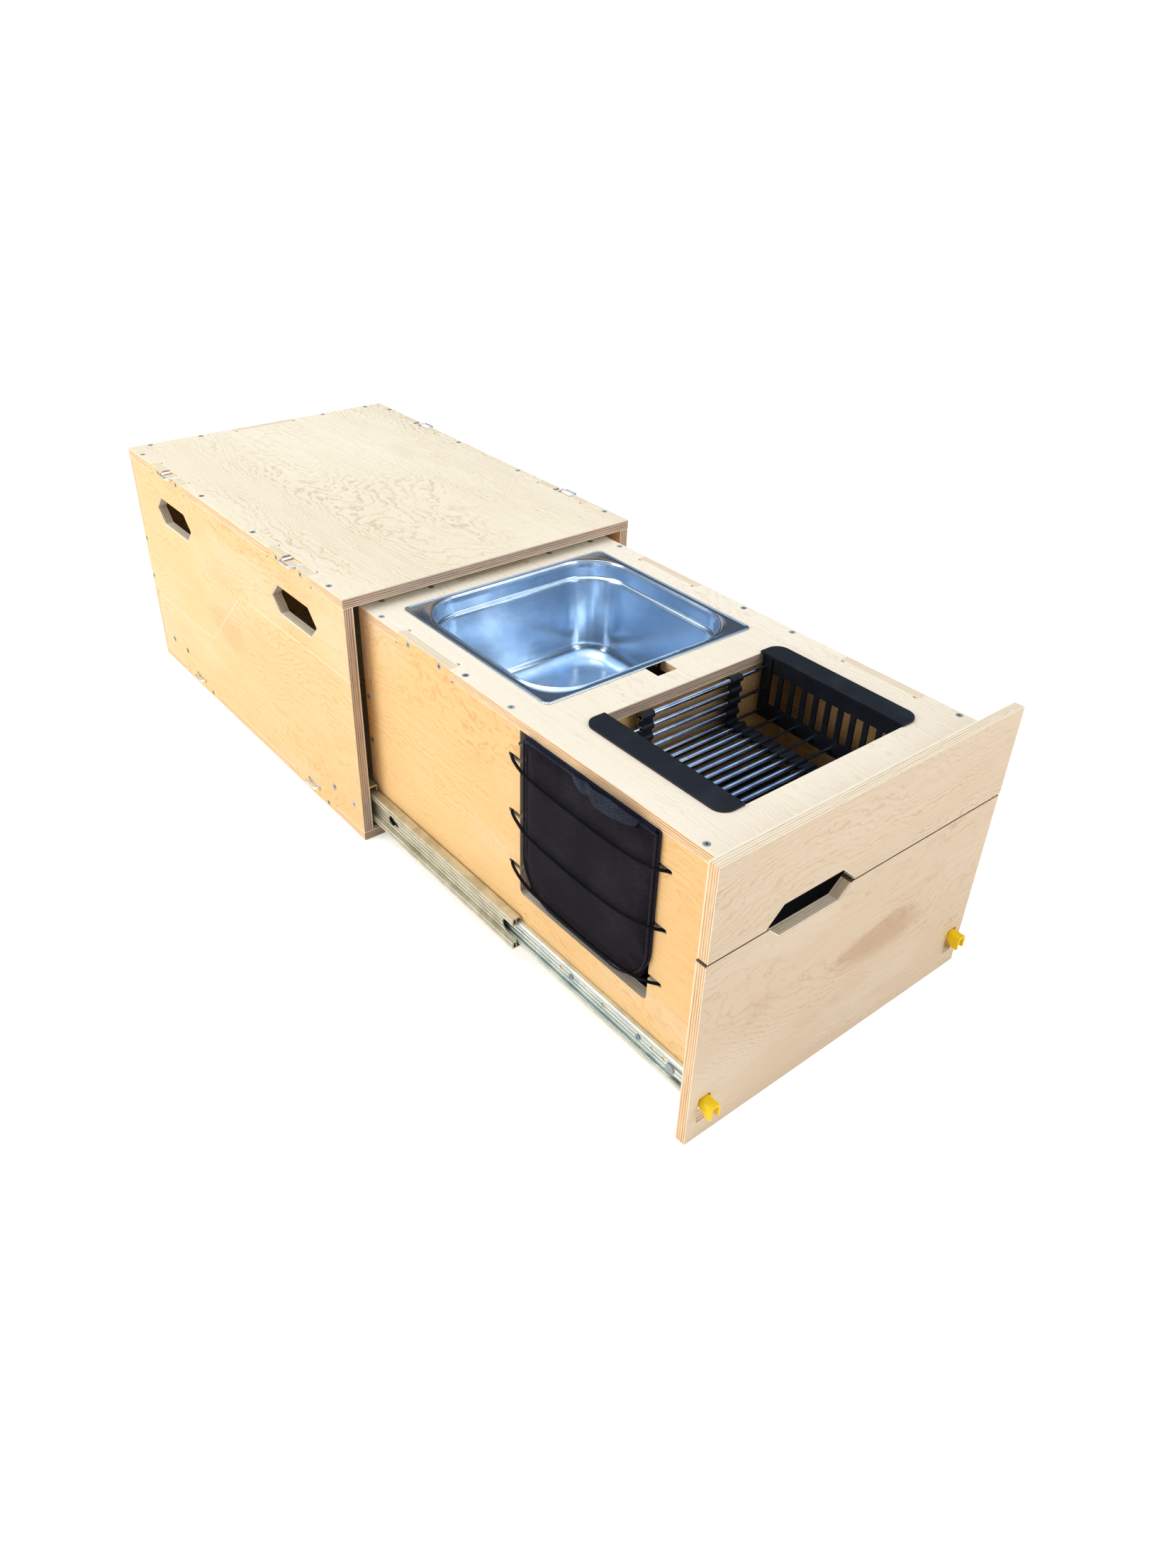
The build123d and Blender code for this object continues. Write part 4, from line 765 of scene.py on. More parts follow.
@dataclass
class SinkTray:
    """The pressed steel sink: a beaded flange round a stepped bowl with a softly crowned floor."""

    half_x: float = 177.0 * MM
    half_y: float = 162.5 * MM
    centre_x: float = -1.5 * MM
    bowl_x: float = 165.0 * MM
    bowl_y: float = 152.0 * MM
    corner: float = 66.0 * MM
    edge_corner: float = 8.0 * MM
    sheet: float = 0.8 * MM
    step_depth: float = 25.0 * MM
    step: float = 4.0 * MM
    taper: float = 11.0 * MM
    depth: float = 149.0 * MM
    floor_round: float = 24.0 * MM
    arc: int = 20
    straight: int = 10

    def ring(self, inset: float, height: float, out: float) -> np.ndarray:
        """Draw one level line of the tray.

        Args:
            inset: how far inside the bowl's mouth it lies; below 0 it lies outside.
            height: how far below the flange's top, downwards positive.
            out: 0 at the bowl's mouth to 1 at the flange's edge, for the change of corner.

        Returns:
            The line's points, n by 3.
        """
        half_x = self.bowl_x - inset + (self.half_x - self.bowl_x) * out
        half_y = self.bowl_y - inset + (self.half_y - self.bowl_y) * out
        radius = max((self.corner - inset) * (1 - out) + self.edge_corner * out, 2 * MM)
        line = rounded_outline(half_x, half_y, (radius,) * 4, self.arc, self.straight)
        return np.column_stack([line, np.full(len(line), -height)])

    def profile(self) -> list[tuple[float, float, float]]:
        """List the tray's level lines, from the flange's edge to the middle of the floor.

        The step in the wall is t * t * (3 - 2 * t), the round at the floor a quarter circle, and the
        floor's crown a quarter sine.

        Returns:
            Each line's inset, depth and way out.
        """
        edge = [(-0.0, 2.0, 1.0), (0.0, 0.9, 1.0), (0.3, 0.25, 1.0), (1.1, 0.0, 1.0), (2.1, 0.1, 1.0),
                (2.9, 0.55, 1.0), (3.6, 0.7, 1.0)]
        lines = [(inset * MM, depth * MM, out) for inset, depth, out in edge]
        lines += [(3.6 * MM * out, 0.7 * MM, out) for out in (0.8, 0.6, 0.42)]
        bead = np.linspace(0, 1, 7)
        lines += [((-3.4 + 3.4 * t) * MM, (0.7 - 1.6 * math.sin(math.pi * t * 0.72)) * MM, 0.0) for t in bead]
        lip = np.linspace(0.15, 1, 4)
        lines += [(0.7 * MM * t, (0.5 + 2.4 * t) * MM, 0.0) for t in lip]
        lines += [(1.0 * MM, 12 * MM, 0.0), (1.4 * MM, self.step_depth - 2 * MM, 0.0)]
        turn = np.linspace(0, 1, 7)
        soft = turn * turn * (3 - 2 * turn)
        lines += [(1.5 * MM + self.step * s, self.step_depth - MM + self.step * t, 0.0)
                  for s, t in zip(soft, turn)]
        wall_start = 1.5 * MM + self.step
        wall_end = wall_start + self.taper
        top, low = self.step_depth + self.step, self.depth - self.floor_round
        lines += [(wall_start + (wall_end - wall_start) * t, top + (low - top) * t, 0.0)
                  for t in np.linspace(0.04, 1, 7)]
        angle = np.linspace(0, TURN / 4, 10)[1:]
        lines += [(wall_end + self.floor_round * (1 - math.cos(a)), low + self.floor_round * math.sin(a), 0.0)
                  for a in angle]
        start = wall_end + self.floor_round
        reach = self.bowl_y - start
        lines += [(start + reach * t, self.depth + 0.8 * MM * math.sin(math.pi * t / 2), 0.0)
                  for t in np.linspace(0.08, 0.97, 9)]
        return lines

    def build(self, shaders: Shaders) -> list[bpy.types.Object]:
        """Build the tray as level lines joined into one sheet, closed by a fan in the floor.

        Args:
            shaders: the shared effects.

        Returns:
            The tray.
        """
        low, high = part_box("gastro_tray")
        centre = np.array([self.centre_x, (low[1] + high[1]) / 2, high[2]])
        rings = np.stack([self.ring(*line) for line in self.profile()]) + centre
        count, around = rings.shape[:2]
        points = np.vstack([rings.reshape(-1, 3), rings[-1].mean(0)])
        closing = fan(count * around, (count - 1) * around, around)[:, [1, 2, 0]]
        faces = grid_faces(count, around, True).tolist() + closing.tolist()
        # The steel's blue tint is a painted reflection of the blue sky that the bowl mirrors.
        steel = Metal("sink_steel_sky_tinted", tone(226, 238, 250), tone(210, 226, 242), 0.22, Axis.X, 0.10, 0.015)
        tray = make_piece("sink_tray", points, faces, steel.material(shaders))
        solid = tray.modifiers.new("sheet", "SOLIDIFY")
        solid.thickness, solid.offset = self.sheet, -1.0
        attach(tray, "drawer")
        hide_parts("gastro_tray")
        return [tray]


FRAMES = 20


def stuffed(piece: bpy.types.Object, held: np.ndarray, pressure: float, cap: float) -> None:
    """Blow a closed cloth piece up a little, so that it crowns and pulls as padded fabric does.

    Args:
        piece: a closed mesh, which is changed.
        held: the vertices that are sewn down and stay where they are.
        pressure: how hard the filling pushes.
        cap: the furthest that a point may move, in metres.
    """
    mesh, scene = piece.data, bpy.context.scene
    count = len(mesh.vertices)
    rest = np.empty(count * 3)
    mesh.vertices.foreach_get("co", rest)
    rest = rest.reshape(-1, 3)
    sewn = piece.vertex_groups.new(name="sewn")
    sewn.add(held.tolist(), 1.0, "REPLACE")
    cloth = piece.modifiers.new("filling", "CLOTH")
    cloth.settings.vertex_group_mass = sewn.name
    cloth.settings.quality = 6
    cloth.settings.tension_stiffness = cloth.settings.compression_stiffness = 9.0
    cloth.settings.bending_stiffness = 0.4
    cloth.settings.use_pressure = True
    cloth.settings.uniform_pressure_force = pressure
    cloth.settings.effector_weights.gravity = 0.0
    cloth.point_cache.frame_start, cloth.point_cache.frame_end = 1, FRAMES
    for frame in range(1, FRAMES + 1):
        scene.frame_set(frame)
    blown = np.empty(count * 3)
    piece.evaluated_get(bpy.context.evaluated_depsgraph_get()).data.vertices.foreach_get("co", blown)
    moved = blown.reshape(-1, 3) - rest
    length = np.maximum(np.linalg.norm(moved, axis=1, keepdims=True), 1e-9)
    moved *= np.minimum(1.0, cap / length)
    piece.modifiers.remove(cloth)
    scene.frame_set(1)
    mesh.vertices.foreach_set("co", (rest + moved).ravel())
    mesh.update()
    log.info("%s would move %.1f mm when it is filled, capped at %.1f", piece.name, length.max() / MM, cap / MM)


@dataclass
class UtensilBag:
    """The soft bag in the drawer's window: its padded front, piping, top fold, body and handle.

    Its front is shifted along the drawer and lifted at the foot, and starts smaller by the room that its
    filling takes up.
    """

    lap_back: float = 22.0 * MM
    lap_front: float = 8.0 * MM
    lap_shift: float = 5.0 * MM
    foot_lift: float = 19.0 * MM
    foot_corner: float = 60.0 * MM
    head_corner: float = 3.0 * MM
    shoulder: float = 5.0 * MM
    piping: float = 1.3 * MM
    pressure: float = 2.5
    puff: float = 2.2 * MM
    room: float = 2.0 * MM
    strap_thick: float = 1.8 * MM
    strap_wide: float = 27.0 * MM
    strap_end: float = 9.0 * MM
    strap_spare: float = 14.0 * MM
    strap_lean: float = 7.0 * MM
    strap_back: float = 10.0 * MM
    strap_rise: float = -1.5 * MM

    def __post_init__(self) -> None:
        """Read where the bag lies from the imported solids."""
        self.low, self.high = (np.array(corner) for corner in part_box("utensil_bag"))
        self.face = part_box("drawer_left_side")[0][0]
        self.mid_y = (self.low[1] + self.high[1] - self.lap_back + 1.5 * MM) / 2 + self.lap_shift
        self.half_y = (self.high[1] - self.lap_back + 1.5 * MM - self.low[1]) / 2
        self.foot = self.low[2] + self.foot_lift
        self.mid_z = (self.foot + self.high[2]) / 2
        self.half_z = (self.high[2] - self.foot) / 2
        self.levels = [(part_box(node)[0][2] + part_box(node)[1][2]) / 2 for node in ElasticCords.NODES]

    def outline(self, shrink: float) -> np.ndarray:
        """Draw the front's outline in Y and Z.

        Args:
            shrink: how far it is set in from the front's edge.

        Returns:
            The outline's points, n by 2.
        """
        radii = [max(r - shrink, 1.5 * MM) for r in
                 (self.head_corner, self.head_corner, self.foot_corner, self.foot_corner)]
        line = rounded_outline(self.half_y - shrink, self.half_z - shrink, tuple(radii), 14, 22)
        return line + np.array([self.mid_y, self.mid_z])

    def slack(self, y: np.ndarray, z: np.ndarray) -> np.ndarray:
        """Work out how loose cloth wanders: a few crossed sine waves, deeper towards the foot.

        Args:
            y: the places along the drawer.
            z: the heights.

        Returns:
            How far it stands out, about -1 to 1.
        """
        along, up = (y - self.mid_y) / self.half_y, (z - self.mid_z) / self.half_z
        waves = np.sin(3.1 * along + 1.7 * up + 0.4) * 0.55 + np.sin(5.3 * up - 2.2 * along + 1.1) * 0.3
        return (waves + 0.25 * np.sin(9.0 * along + 4.0 * up)) * (1.0 - 0.35 * up)

    def pressed(self, y: np.ndarray, z: np.ndarray) -> np.ndarray:
        """Work out how deep the cords press in: a narrow bell, exp(-d * d), along each cord's line.

        Args:
            y: the places along the drawer.
            z: the heights.

        Returns:
            How deep the dent is, 0 to 1.
        """
        total = np.zeros_like(y)
        for level in self.levels:
            total += np.exp(-(((z - level) / (7 * MM)) ** 2))
        return total

    def front(self, material: bpy.types.Material) -> bpy.types.Object:
        """Build the padded front: rings from its edge inwards that rise as a tight rounded shoulder.

        The rise over the shoulder is a quarter circle, and past it the cloth wanders and is pressed in
        by the cords.

        Args:
            material: its cloth.

        Returns:
            The front.
        """
        proud = self.face - self.low[0] - 2.0 * MM - self.room
        panel = self.face - 0.6 * MM
        middle = 0.975 * min(self.half_y, self.half_z)
        inward = np.concatenate([np.linspace(0, self.shoulder, 7),
                                 np.linspace(self.shoulder + 2 * MM, middle, 24)])
        rings = [np.column_stack([np.full(len(line), panel), line])
                 for line in map(self.outline, [*inward[::-4], 0.4 * MM])]
        for inset in inward:
            line = self.outline(inset + self.room)
            part = min(inset / self.shoulder, 1.0)
            rise = (proud - self.shoulder) + self.shoulder * math.sqrt(1 - (1 - part) ** 2)
            inner = min(max(inset - self.shoulder, 0.0) / (20 * MM), 1.0)
            loose = self.slack(line[:, 0], line[:, 1]) * 0.7 * MM * inner
            dent = self.pressed(line[:, 0], line[:, 1]) * 1.3 * MM * part
            rings.append(np.column_stack([panel - rise - loose + dent, line]))
        points, faces = swept(np.stack(rings)[::-1], True)
        piece = make_piece("bag_front", points, faces, material)
        stuffed(piece, np.flatnonzero(points[:, 0] > self.face - 4.0 * MM), self.pressure, self.puff)
        smooth = piece.modifiers.new("soft", "SUBSURF")
        smooth.levels = smooth.render_levels = 1
        return piece

    def body(self, material: bpy.types.Material) -> bpy.types.Object:
        """Build the part inside the window: rounded sections along X that pull in behind the front.

        Between its ends it pulls in by a half sine.

        Args:
            material: its cloth.

        Returns:
            The body.
        """
        mid_y = (self.low[1] + self.lap_front + self.high[1] + 1.5 * MM) / 2
        half = 117.5 * MM
        rounds = (9 * MM, 9 * MM, 40 * MM, 40 * MM)
        low, high = self.low[2] + 9 * MM, self.high[2] - 2.0 * MM
        rings = []
        for t in np.linspace(0, 1, 14):
            x = self.face + 0.5 * MM + (self.high[0] - self.face - 0.5 * MM) * t
            pull = 3.0 * MM * math.sin(math.pi * t) + (5 * MM if t in (0.0, 1.0) else 0.0)
            line = rounded_outline(half - pull, (high - low) / 2 - pull, rounds, 8, 10)
            line = line + np.array([mid_y, (low + high) / 2])
            line[:, 1] -= 1.5 * MM * np.sin(math.pi * t) * (line[:, 1] > (low + high) / 2)
            rings.append(np.column_stack([np.full(len(line), x), line]))
        points, faces = swept(np.stack(rings), True)
        return make_piece("bag_body", points, faces, material)

    def edge_piping(self, material: bpy.types.Material) -> bpy.types.Object:
        """Build the corded edges: thin tubes carried round the front's shoulder and its back edge.

        Args:
            material: its tape.

        Returns:
            The piping.
        """
        points, faces, start = [], [], 0
        for inset, x in ((1.2 * MM, self.low[0] + 3.2 * MM), (0.2 * MM, self.face - 1.8 * MM)):
            line = self.outline(inset)
            rings = tube_rings(np.column_stack([np.full(len(line), x), line]), self.piping, 8, True)
            count, around = rings.shape[:2]
            quads = grid_faces(count + 1, around, True)[:, ::-1] % (count * around)
            points.append(rings.reshape(-1, 3))
            faces.append(quads + start)
            start += count * around
        return make_piece("bag_piping", np.vstack(points), np.vstack(faces).tolist(), material)

    def fold(self, material: bpy.types.Material) -> bpy.types.Object:
        """Build the rumpled cloth along the top, from the front's edge back to the panel.

        Its height over u along and v across is a half sine in v plus two slanting sine wrinkles.

        Args:
            material: its cloth.

        Returns:
            The fold.
        """
        rows, columns = 90, 9
        reach = self.half_y - 3 * MM
        along = np.linspace(self.mid_y - reach, self.mid_y + reach, rows)
        y, v = np.meshgrid(along, np.linspace(0, 1, columns), indexing="ij")
        crumple = np.sin(y * 140 + v * 3.0) * 0.6 + np.sin(y * 61 - v * 5.0 + 1.0) * 0.9
        z = self.high[2] - 1.2 * MM + (1.6 * MM + 0.8 * MM * crumple) * np.sin(math.pi * v) ** 0.8
        x = self.low[0] + 3.0 * MM + (self.face - 0.8 * MM - self.low[0] - 3.0 * MM) * v
        points = np.stack([x, y, z], -1).reshape(-1, 3)
        piece = make_piece("bag_fold", points, grid_faces(rows, columns, False)[:, ::-1].tolist(), material)
        solid = piece.modifiers.new("cloth", "SOLIDIFY")
        solid.thickness, solid.offset = 0.8 * MM, -1.0
        return piece

    def handle(self, material: bpy.types.Material) -> bpy.types.Object:
        """Build the handle: webbing gathered at both ends that bellies over the bag's top edge.

        Its width and how far it leans out are half sines along it, less a narrow bell where it is pinched,
        and across it the web is a shallow arc.

        Args:
            material: its webbing.

        Returns:
            The handle.
        """
        low, high = (np.array(corner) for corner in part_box("bag_handle"))
        rows, columns = 44, 9
        t, v = np.meshgrid(np.linspace(0, 1, rows), np.linspace(-1, 1, columns), indexing="ij")
        pinch = np.exp(-(((t - 0.24) / 0.07) ** 2))
        belly = np.sin(math.pi * np.clip(t, 0, 1)) ** 0.62 * (1 - 0.3 * pinch)
        width = self.strap_end + (self.strap_wide - self.strap_end) * belly
        wander = 3.0 * MM * t + 2.0 * MM * np.sin(TURN * (t - 0.32)) * t
        middle = high[2] + self.strap_rise - 5.5 * MM * belly + wander
        z = middle + width / 2 * v * np.cos(0.35 * belly)
        lean = belly * (1 - 0.45 * v * v) + 0.25 * belly * v
        x = self.low[0] + 1.0 * MM - self.strap_lean * lean - 0.9 * MM * np.sin(9 * t) * v + 3.0 * MM * pinch
        y = high[1] + self.strap_back - (high[1] - low[1] + self.strap_spare) * t + 3.0 * MM * v * (1 - 2 * t)
        points = np.stack([x, y, z], -1).reshape(-1, 3)
        piece = make_piece("bag_strap", points, grid_faces(rows, columns, False)[:, ::-1].tolist(), material)
        solid = piece.modifiers.new("webbing", "SOLIDIFY")
        solid.thickness, solid.offset = self.strap_thick, 0.0
        smooth = piece.modifiers.new("soft", "SUBSURF")
        smooth.levels = smooth.render_levels = 1
        return piece

    def build(self, shaders: Shaders) -> list[bpy.types.Object]:
        """Build the bag's five pieces.

        Args:
            shaders: the shared effects.

        Returns:
            The front, the body, the strap, the piping and the fold.
        """
        cloth = Fabric("bag_cloth", tone(14, 13, 17), tone(72, 68, 82), 560.0, 0.8).material(shaders)
        lining = Fabric("bag_lining", tone(8, 8, 12), tone(18, 19, 28), 620.0).material(shaders)
        navy = Fabric("bag_navy", tone(16, 18, 30), tone(50, 56, 84), 500.0).material(shaders)
        # The tape's and the webbing's sheen colours are lighter than the cloth's: painted highlights on the
        # piping and on the strap.
        tape = Fabric("bag_tape_painted_highlight", tone(26, 27, 34), tone(86, 88, 108), 420.0).material(shaders)
        web = Fabric("strap_webbing_painted_highlight", tone(12, 14, 20), tone(96, 106, 130), 330.0, 0.9).material(shaders)
        front, body, strap = self.front(cloth), self.body(lining), self.handle(web)
        pieces = [front, body, strap, self.edge_piping(tape), self.fold(navy)]
        for piece in pieces:
            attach(piece, "drawer")
        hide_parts("utensil_bag")
        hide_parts("utensil_bag")
        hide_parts("bag_handle")
        return pieces


@dataclass
class ElasticCords:
    """The three elastic cords: each leaves a knot, comes out of its slot and crosses the bag."""

    NODES = ("elastic_cord_top", "elastic_cord_middle", "elastic_cord_bottom")
    radius: float = 2.0 * MM
    length: float = 330.0 * MM
    knot_x: float = -199.7 * MM
    near: float = -716.3 * MM
    far: float = -1004.7 * MM
    drop: float = 0.7 * MM
    levels: tuple = (322.0 * MM, 239.0 * MM, 157.5 * MM)
    sags: tuple = (4.0 * MM, 9.0 * MM, 6.0 * MM)

    def route(self, level: float, sag: float) -> np.ndarray:
        """List the points that one cord's line is drawn towards, from knot to knot.

        Across the bag it sags by a parabola, 4 * t * (1 - t), and drops a little to its far slot.

        Args:
            level: the height of the slot that it leaves.
            sag: how far its middle hangs below that.

        Returns:
            The points, n by 3.
        """
        over = [(-230.8, -744.0), (-235.2, -772.0), (-235.6, -845.0), (-235.8, -900.0), (-235.4, -944.0),
                (-233.6, -976.0)]
        share = np.linspace(0, 1, len(over))
        bulge = 4 * share * (1 - share)
        middle = np.column_stack([np.array(over) * MM, level - sag * bulge - self.drop * share])
        ends = [(self.knot_x, self.near, level), (-216.0 * MM, self.near, level),
                (-223.6 * MM, -722.5 * MM, level)]
        tail = [(-223.4 * MM, -999.0 * MM, level - self.drop), (-212.0 * MM, self.far, level - self.drop),
                (self.knot_x, self.far, level - self.drop)]
        return np.vstack([ends, middle, tail])

    def build(self, shaders: Shaders) -> list[bpy.types.Object]:
        """Build the cords as curves with a round section.

        Args:
            shaders: the shared effects.

        Returns:
            The top, middle and bottom cord.
        """
        braid = Fabric("cord_braid", tone(12, 12, 16), tone(44, 44, 54), 520.0, 0.8).material(shaders)
        cords = []
        for node, level, sag in zip(self.NODES, self.levels, self.sags):
            points = self.route(level, sag)
            curve = bpy.data.curves.new(node + "_line", "CURVE")
            curve.dimensions = "3D"
            spline = curve.splines.new("NURBS")
            spline.points.add(len(points) - 1)
            spline.points.foreach_set("co", np.column_stack([points, np.ones(len(points))]).ravel())
            spline.order_u, spline.use_endpoint_u, spline.resolution_u = 3, True, 12
            curve.bevel_depth, curve.bevel_resolution, curve.use_fill_caps = self.radius, 4, True
            curve.materials.append(braid)
            cord = bpy.data.objects.new(node.replace("elastic_cord", "bag_cord"), curve)
            bpy.context.scene.collection.objects.link(cord)
            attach(cord, "drawer")
            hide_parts(node)
            cords.append(cord)
        return cords


@dataclass
class CordKnots:
    """The overhand knots that hold the elastic cords behind the drawer side."""

    size: float = 1.44 * MM
    through: float = 0.9
    cord: float = 1.9 * MM
    points: int = 72
    inset: float = 6.0 * MM

    def knot(self) -> np.ndarray:
        """Draw a closed three-lobed knot: sin t + 2 sin 2t by cos t - 2 cos 2t, and -sin 3t through it.

        Returns:
            The knot's line, n by 3, about its middle.
        """
        t = np.linspace(0, TURN, self.points, endpoint=False)
        through = -np.sin(3 * t) * self.through
        line = np.stack([through, np.sin(t) + 2 * np.sin(2 * t), np.cos(t) - 2 * np.cos(2 * t)], -1)
        return line * self.size

    def build(self, shaders: Shaders) -> list[bpy.types.Object]:
        """Build the six knots as one piece.

        Args:
            shaders: the shared effects.

        Returns:
            The knots.
        """
        low, high = (np.array(corner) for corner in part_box("cord_knots"))
        levels = [np.array(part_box(node)).mean(0)[2] for node in ElasticCords.NODES]
        middle_x = (low[0] + high[0]) / 2
        base = tube_rings(self.knot(), self.cord, 8, True)
        around, count = base.shape[1], base.shape[0]
        quads = grid_faces(count + 1, around, True)[:, ::-1] % (count * around)
        points, faces = [], []
        for level in levels:
            for y in (low[1] + self.inset, high[1] - self.inset):
                faces.append(quads + len(points) * count * around)
                points.append(base.reshape(-1, 3) + np.array([middle_x, y, level]))
        elastic = Fabric("knot_braid", tone(18, 18, 20), tone(46, 46, 52), 500.0).material(shaders)
        piece = make_piece("knots", np.vstack(points), np.vstack(faces).tolist(), elastic)
        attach(piece, "drawer")
        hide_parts("cord_knots")
        return [piece]


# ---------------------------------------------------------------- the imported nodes


@dataclass
class PackedParts:
    """The solids that keep their own shape and get their real finish."""

    nodes: dict
    shaders: Shaders
    sides: tuple = ("left", "right")
    plywood: list = field(default_factory=lambda: [
        Plywood("carcass_top", Axis.Z, Axis.Y, PALE_PAINTED_TOP_LIGHT), Plywood("carcass_bottom", Axis.Z, Axis.Y, PALE_PAINTED_TOP_LIGHT),
        Plywood("carcass_back", Axis.Y, Axis.X, HONEY_PAINTED_UPRIGHT_LIGHT),
        Plywood("carcass_left_side", Axis.X, Axis.Y, HONEY_PAINTED_UPRIGHT_LIGHT, (0.05, 0.19)),
        Plywood("carcass_right_side", Axis.X, Axis.Y, HONEY_PAINTED_UPRIGHT_LIGHT), Plywood("drawer_top", Axis.Z, Axis.Y, PLAIN_PAINTED_TOP_LIGHT),
        Plywood("drawer_bottom", Axis.Z, Axis.Y, PALE_PAINTED_TOP_LIGHT), Plywood("drawer_back", Axis.Y, Axis.X, HONEY_PAINTED_UPRIGHT_LIGHT),
        Plywood("drawer_divider", Axis.Y, Axis.X, AMBER_PAINTED_UPRIGHT_LIGHT), Plywood("drawer_left_side", Axis.X, Axis.Y, AMBER_PAINTED_UPRIGHT_LIGHT),
        Plywood("drawer_right_side", Axis.X, Axis.Y, AMBER_PAINTED_UPRIGHT_LIGHT),
        Plywood("front_lower_panel", Axis.Y, Axis.X, TAN_PAINTED_FRONT_SHADE, (0.05, 0.15), 0.279),
        Plywood("front_upper_panel", Axis.Y, Axis.X, TAN_PAINTED_FRONT_SHADE, seam=0.279)])

    def finishes(self) -> dict:
        """Choose the finish of each part that is not wood.

        Returns:
            Each finish, with the nodes that it goes on.
        """
        zinc = Metal("screw_zinc", tone(196, 202, 206), tone(150, 158, 168), 0.55, Axis.X, 0.2, metallic=0.6)
        wire = Metal("loop_wire", tone(250, 249, 247), tone(232, 232, 232), 0.42)
        rolled = {"ribs": 150.0, "metallic": 0.6}
        olive = Metal("slide_yellow_zinc", tone(218, 214, 196), tone(192, 188, 168), 0.34, **rolled)
        bright = Metal("slide_blue_zinc", tone(232, 238, 232), tone(206, 216, 214), 0.30, **rolled)
        balls = Metal("ball_steel", tone(216, 218, 222), tone(196, 198, 204), 0.10, Axis.Y, 0.05)
        tubes = Metal("basket_tube_steel", tone(214, 222, 236), tone(176, 188, 208), 0.16, Axis.X, 0.1)
        yellow = Plastic("lever_yellow", (1.0, 0.71, 0.0, 1.0), tone(255, 196, 0), 0.32, 0.12, 0.02, 0.25)
        black = Plastic("basket_black", tone(24, 29, 40), tone(58, 66, 82), 0.42, 0.16)
        case = Plastic("case_black", tone(26, 27, 31), tone(64, 66, 74), 0.40, 0.2)
        both = self.each_side
        return {
            zinc: ["carcass_screws", "drawer_screws", "front_screws", "slide_bolts", "slide_nuts",
                   "slide_screws", "angle_brackets", "lever_rivets"],
            wire: both("lashing_loops"),
            olive: both("slide_outer") + both("slide_middle"),
            bright: both("slide_inner") + both("ball_cage_outer") + both("ball_cage_inner")
            + both("release_lever"),
            balls: both("balls_outer") + both("balls_inner"),
            tubes: both("basket_rods") + ["basket_tubes"],
            yellow: both("lever_cap"),
            black: both("basket_frame") + ["basket_couplers"],
            case: ["stove_case"],
        }

    def each_side(self, name: str) -> list[str]:
        """Return the left and the right node of a pair."""
        return [name + "_" + side for side in self.sides]

    def dress(self, node: str, material: bpy.types.Material) -> None:
        """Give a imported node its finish.

        Args:
            node: the node's name.
            material: its finish.
        """
        piece = self.nodes[node]
        if not piece.material_slots:
            piece.data.materials.append(material)
        for slot in piece.material_slots:
            slot.material = material
        log.info("%s is finished with %s", node, material.name)

    def soften(self, node: str, width: float) -> None:
        """Round a moulded node's sharp edges, joining its loose faces first.

        Args:
            node: the node's name.
            width: how wide the rounding is.
        """
        piece = self.nodes[node]
        weld = piece.modifiers.new("join", "WELD")
        weld.merge_threshold = 0.02 * MM
        bevel = piece.modifiers.new("round", "BEVEL")
        bevel.width, bevel.segments, bevel.limit_method, bevel.angle_limit = width, 3, "ANGLE", math.radians(35)
        bevel.harden_normals = True

    def build(self) -> None:
        """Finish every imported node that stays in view."""
        for node in self.each_side("lever_cap"):
            self.soften(node, 1.6 * MM)
        for node in self.each_side("basket_frame"):
            self.soften(node, 0.8 * MM)
        for sheet in self.plywood:
            self.dress(sheet.node, sheet.material(self.shaders))
        for finish, names in self.finishes().items():
            material = finish.material(self.shaders)
            for name in names:
                self.dress(name, material)


# ---------------------------------------------------------------- studio


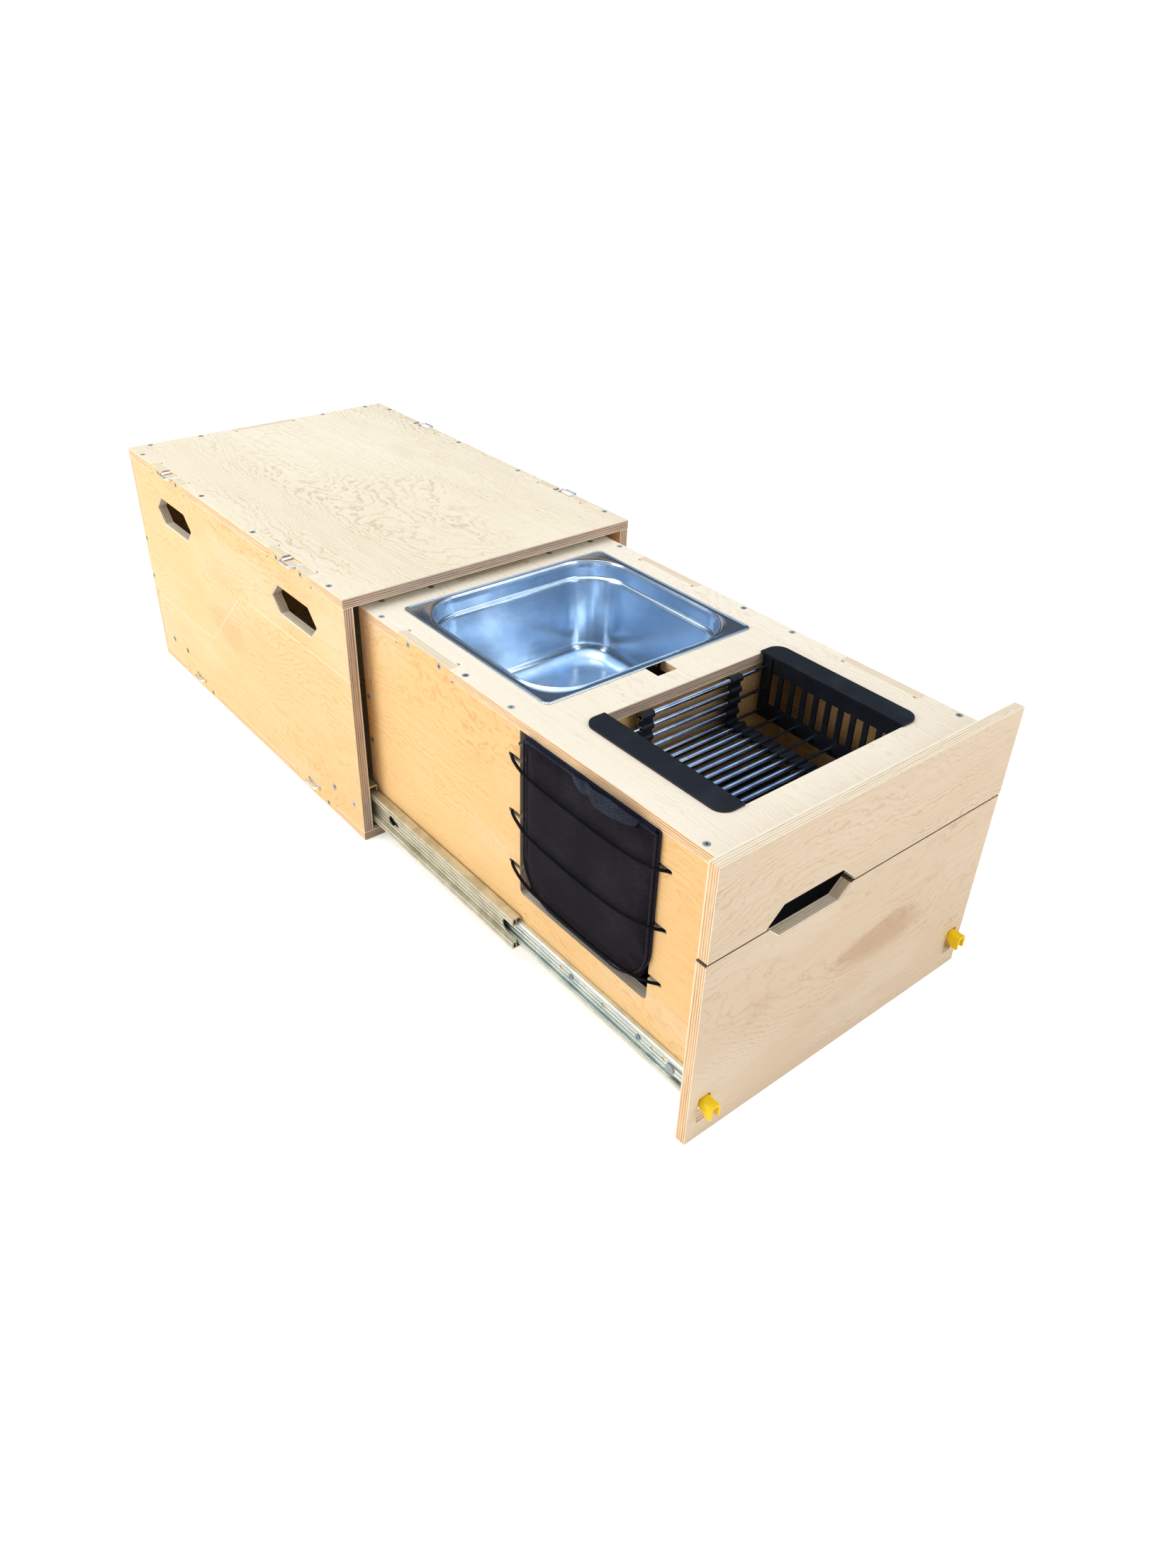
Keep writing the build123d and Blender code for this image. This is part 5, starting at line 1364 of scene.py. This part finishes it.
@dataclass
class Studio:
    """The pale floor, the soft lights, the sky that metal reflects and the camera."""

    eye: tuple = (-0.8980, -1.6546, 1.0713)
    ahead: tuple = (0.53692, 0.62653, -0.56496)
    right: tuple = (0.77361, -0.63277, 0.03348)
    lens: float = 25.95
    middle: tuple = (0.0, -0.37, 0.2)
    floor_wide: float = 90.0

    def camera(self) -> None:
        """Place the camera by its eye point and the direction it looks in."""
        ahead, right = Vector(self.ahead).normalized(), Vector(self.right).normalized()
        up = right.cross(ahead).normalized()
        data = bpy.data.cameras.new("camera")
        data.lens = self.lens
        data.clip_start = 0.01
        camera = bpy.data.objects.new("camera", data)
        turn = Matrix((right, up, -ahead)).transposed().to_4x4()
        camera.matrix_world = Matrix.Translation(self.eye) @ turn
        bpy.context.scene.collection.objects.link(camera)
        bpy.context.scene.camera = camera

    def floor(self) -> None:
        """Lay a wide round floor of paper, which glows more away from the box, as the white behind it does."""
        reach = np.array([0.02, 0.4, 0.8, 1.2, 1.6, 2.4, 4.0, 8.0, 20.0, self.floor_wide])
        angle = np.linspace(0, TURN, 64, endpoint=False)
        level = np.full((len(reach), len(angle)), -0.2 * MM)
        rings = np.stack([np.outer(reach, np.cos(angle)), np.outer(reach, np.sin(angle)), level], -1)
        points, faces = swept(rings[:, ::-1], False)
        points = np.vstack([points, [[0, 0, -0.2 * MM]]])
        faces += fan(len(points) - 1, 0, len(angle))[:, [2, 1, 0]].tolist()
        made, g, shader = new_material("floor_paper")
        far = g.add("VectorMath", {0: g.place()}, operation="LENGTH").outputs["Value"]
        shade = g.step(g.noise(g.place(), (3.0, 3.0, 3.0)), 0.3, 0.7)
        g.feed(g.mix(shade, tone(254, 254, 254), tone(251, 252, 253)), shader.inputs["Base Color"])
        glow = g.math("ADD", 0.36, g.step(far, 0.7, 2.4))
        seen = g.add("LightPath").outputs["Is Camera Ray"]
        g.feed(g.math("MULTIPLY", glow, seen), shader.inputs["Emission Strength"])
        shader.inputs["Emission Color"].default_value = (1.0, 1.0, 1.0, 1.0)
        shader.inputs["Roughness"].default_value = 0.9
        shader.inputs["Specular IOR Level"].default_value = 0.1
        make_piece("floor", points, faces, made)

    def sky(self) -> None:
        """Light the scene with a soft dome; what is polished mirrors a blue top over a dark band instead."""
        world = bpy.data.worlds.new("studio")
        world.use_nodes = True
        bpy.context.scene.world = world
        g = Graph(world.node_tree)
        back = world.node_tree.nodes["Background"]
        height = g.split(g.add("TexCoord").outputs["Generated"])[2]
        ramp = g.add("ValToRGB", {"Fac": height})
        stops = ((0.0, (0.70, 0.70, 0.70, 1)), (0.16, (0.46, 0.46, 0.46, 1)), (0.32, (0.05, 0.05, 0.055, 1)),
                 (0.64, (0.10, 0.12, 0.15, 1)), (0.76, (0.56, 0.78, 1.06, 1)), (0.95, (0.92, 1.04, 1.14, 1)))
        elements = ramp.color_ramp.elements
        for index, (place, color) in enumerate(stops):
            element = elements[index] if index < 2 else elements.new(place)
            element.position, element.color = place, color
        path = g.add("LightPath").outputs
        soft = g.mix(height, (0.34, 0.33, 0.32, 1.0), (0.62, 0.60, 0.57, 1.0))
        mirrored = g.mix(path["Is Glossy Ray"], soft, ramp.outputs[0])
        g.feed(g.mix(path["Is Camera Ray"], mirrored, (1.0, 1.0, 1.0, 1.0)), back.inputs["Color"])
        back.inputs["Strength"].default_value = 1.0

    def light(self, name: str, place: tuple, size: float, power: float, color: tuple) -> None:
        """Hang a square soft light that faces the middle of the box.

        Args:
            name: the light's name.
            place: where it hangs.
            size: the length of its side.
            power: its strength in watts.
            color: its colour.
        """
        data = bpy.data.lights.new(name, "AREA")
        data.size, data.energy, data.color = size, power, color
        lamp = bpy.data.objects.new(name, data)
        lamp.location = place
        lamp.rotation_euler = (Vector(self.middle) - Vector(place)).to_track_quat("-Z", "Y").to_euler()
        bpy.context.scene.collection.objects.link(lamp)

    def build(self) -> None:
        """Set up the whole studio."""
        self.camera()
        self.floor()
        self.sky()
        self.light("overhead", (-0.6, 0.4, 3.6), 2.0, 34.0, (1.0, 0.99, 0.96))
        self.light("left", (-3.4, 0.7, 1.7), 2.0, 54.0, (1.0, 0.97, 0.92))
        self.light("front", (1.4, -4.2, 1.8), 2.4, 40.0, (1.0, 0.98, 0.95))
        bpy.context.scene.view_settings.view_transform = "Standard"
        bpy.context.scene.view_settings.look = "Medium High Contrast"


def main() -> None:
    """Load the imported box, build each piece and report it."""
    logging.basicConfig(level=logging.INFO, format="%(message)s")
    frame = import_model()
    shaders = Shaders()
    Studio().build()
    PackedParts(frame["nodes"], shaders).build()
    for assembly in (SinkTray(), UtensilBag(), ElasticCords(), CordKnots()):
        for piece in assembly.build(shaders):
            log.info("built %s", piece.name)


if __name__ == "__main__":
    main()
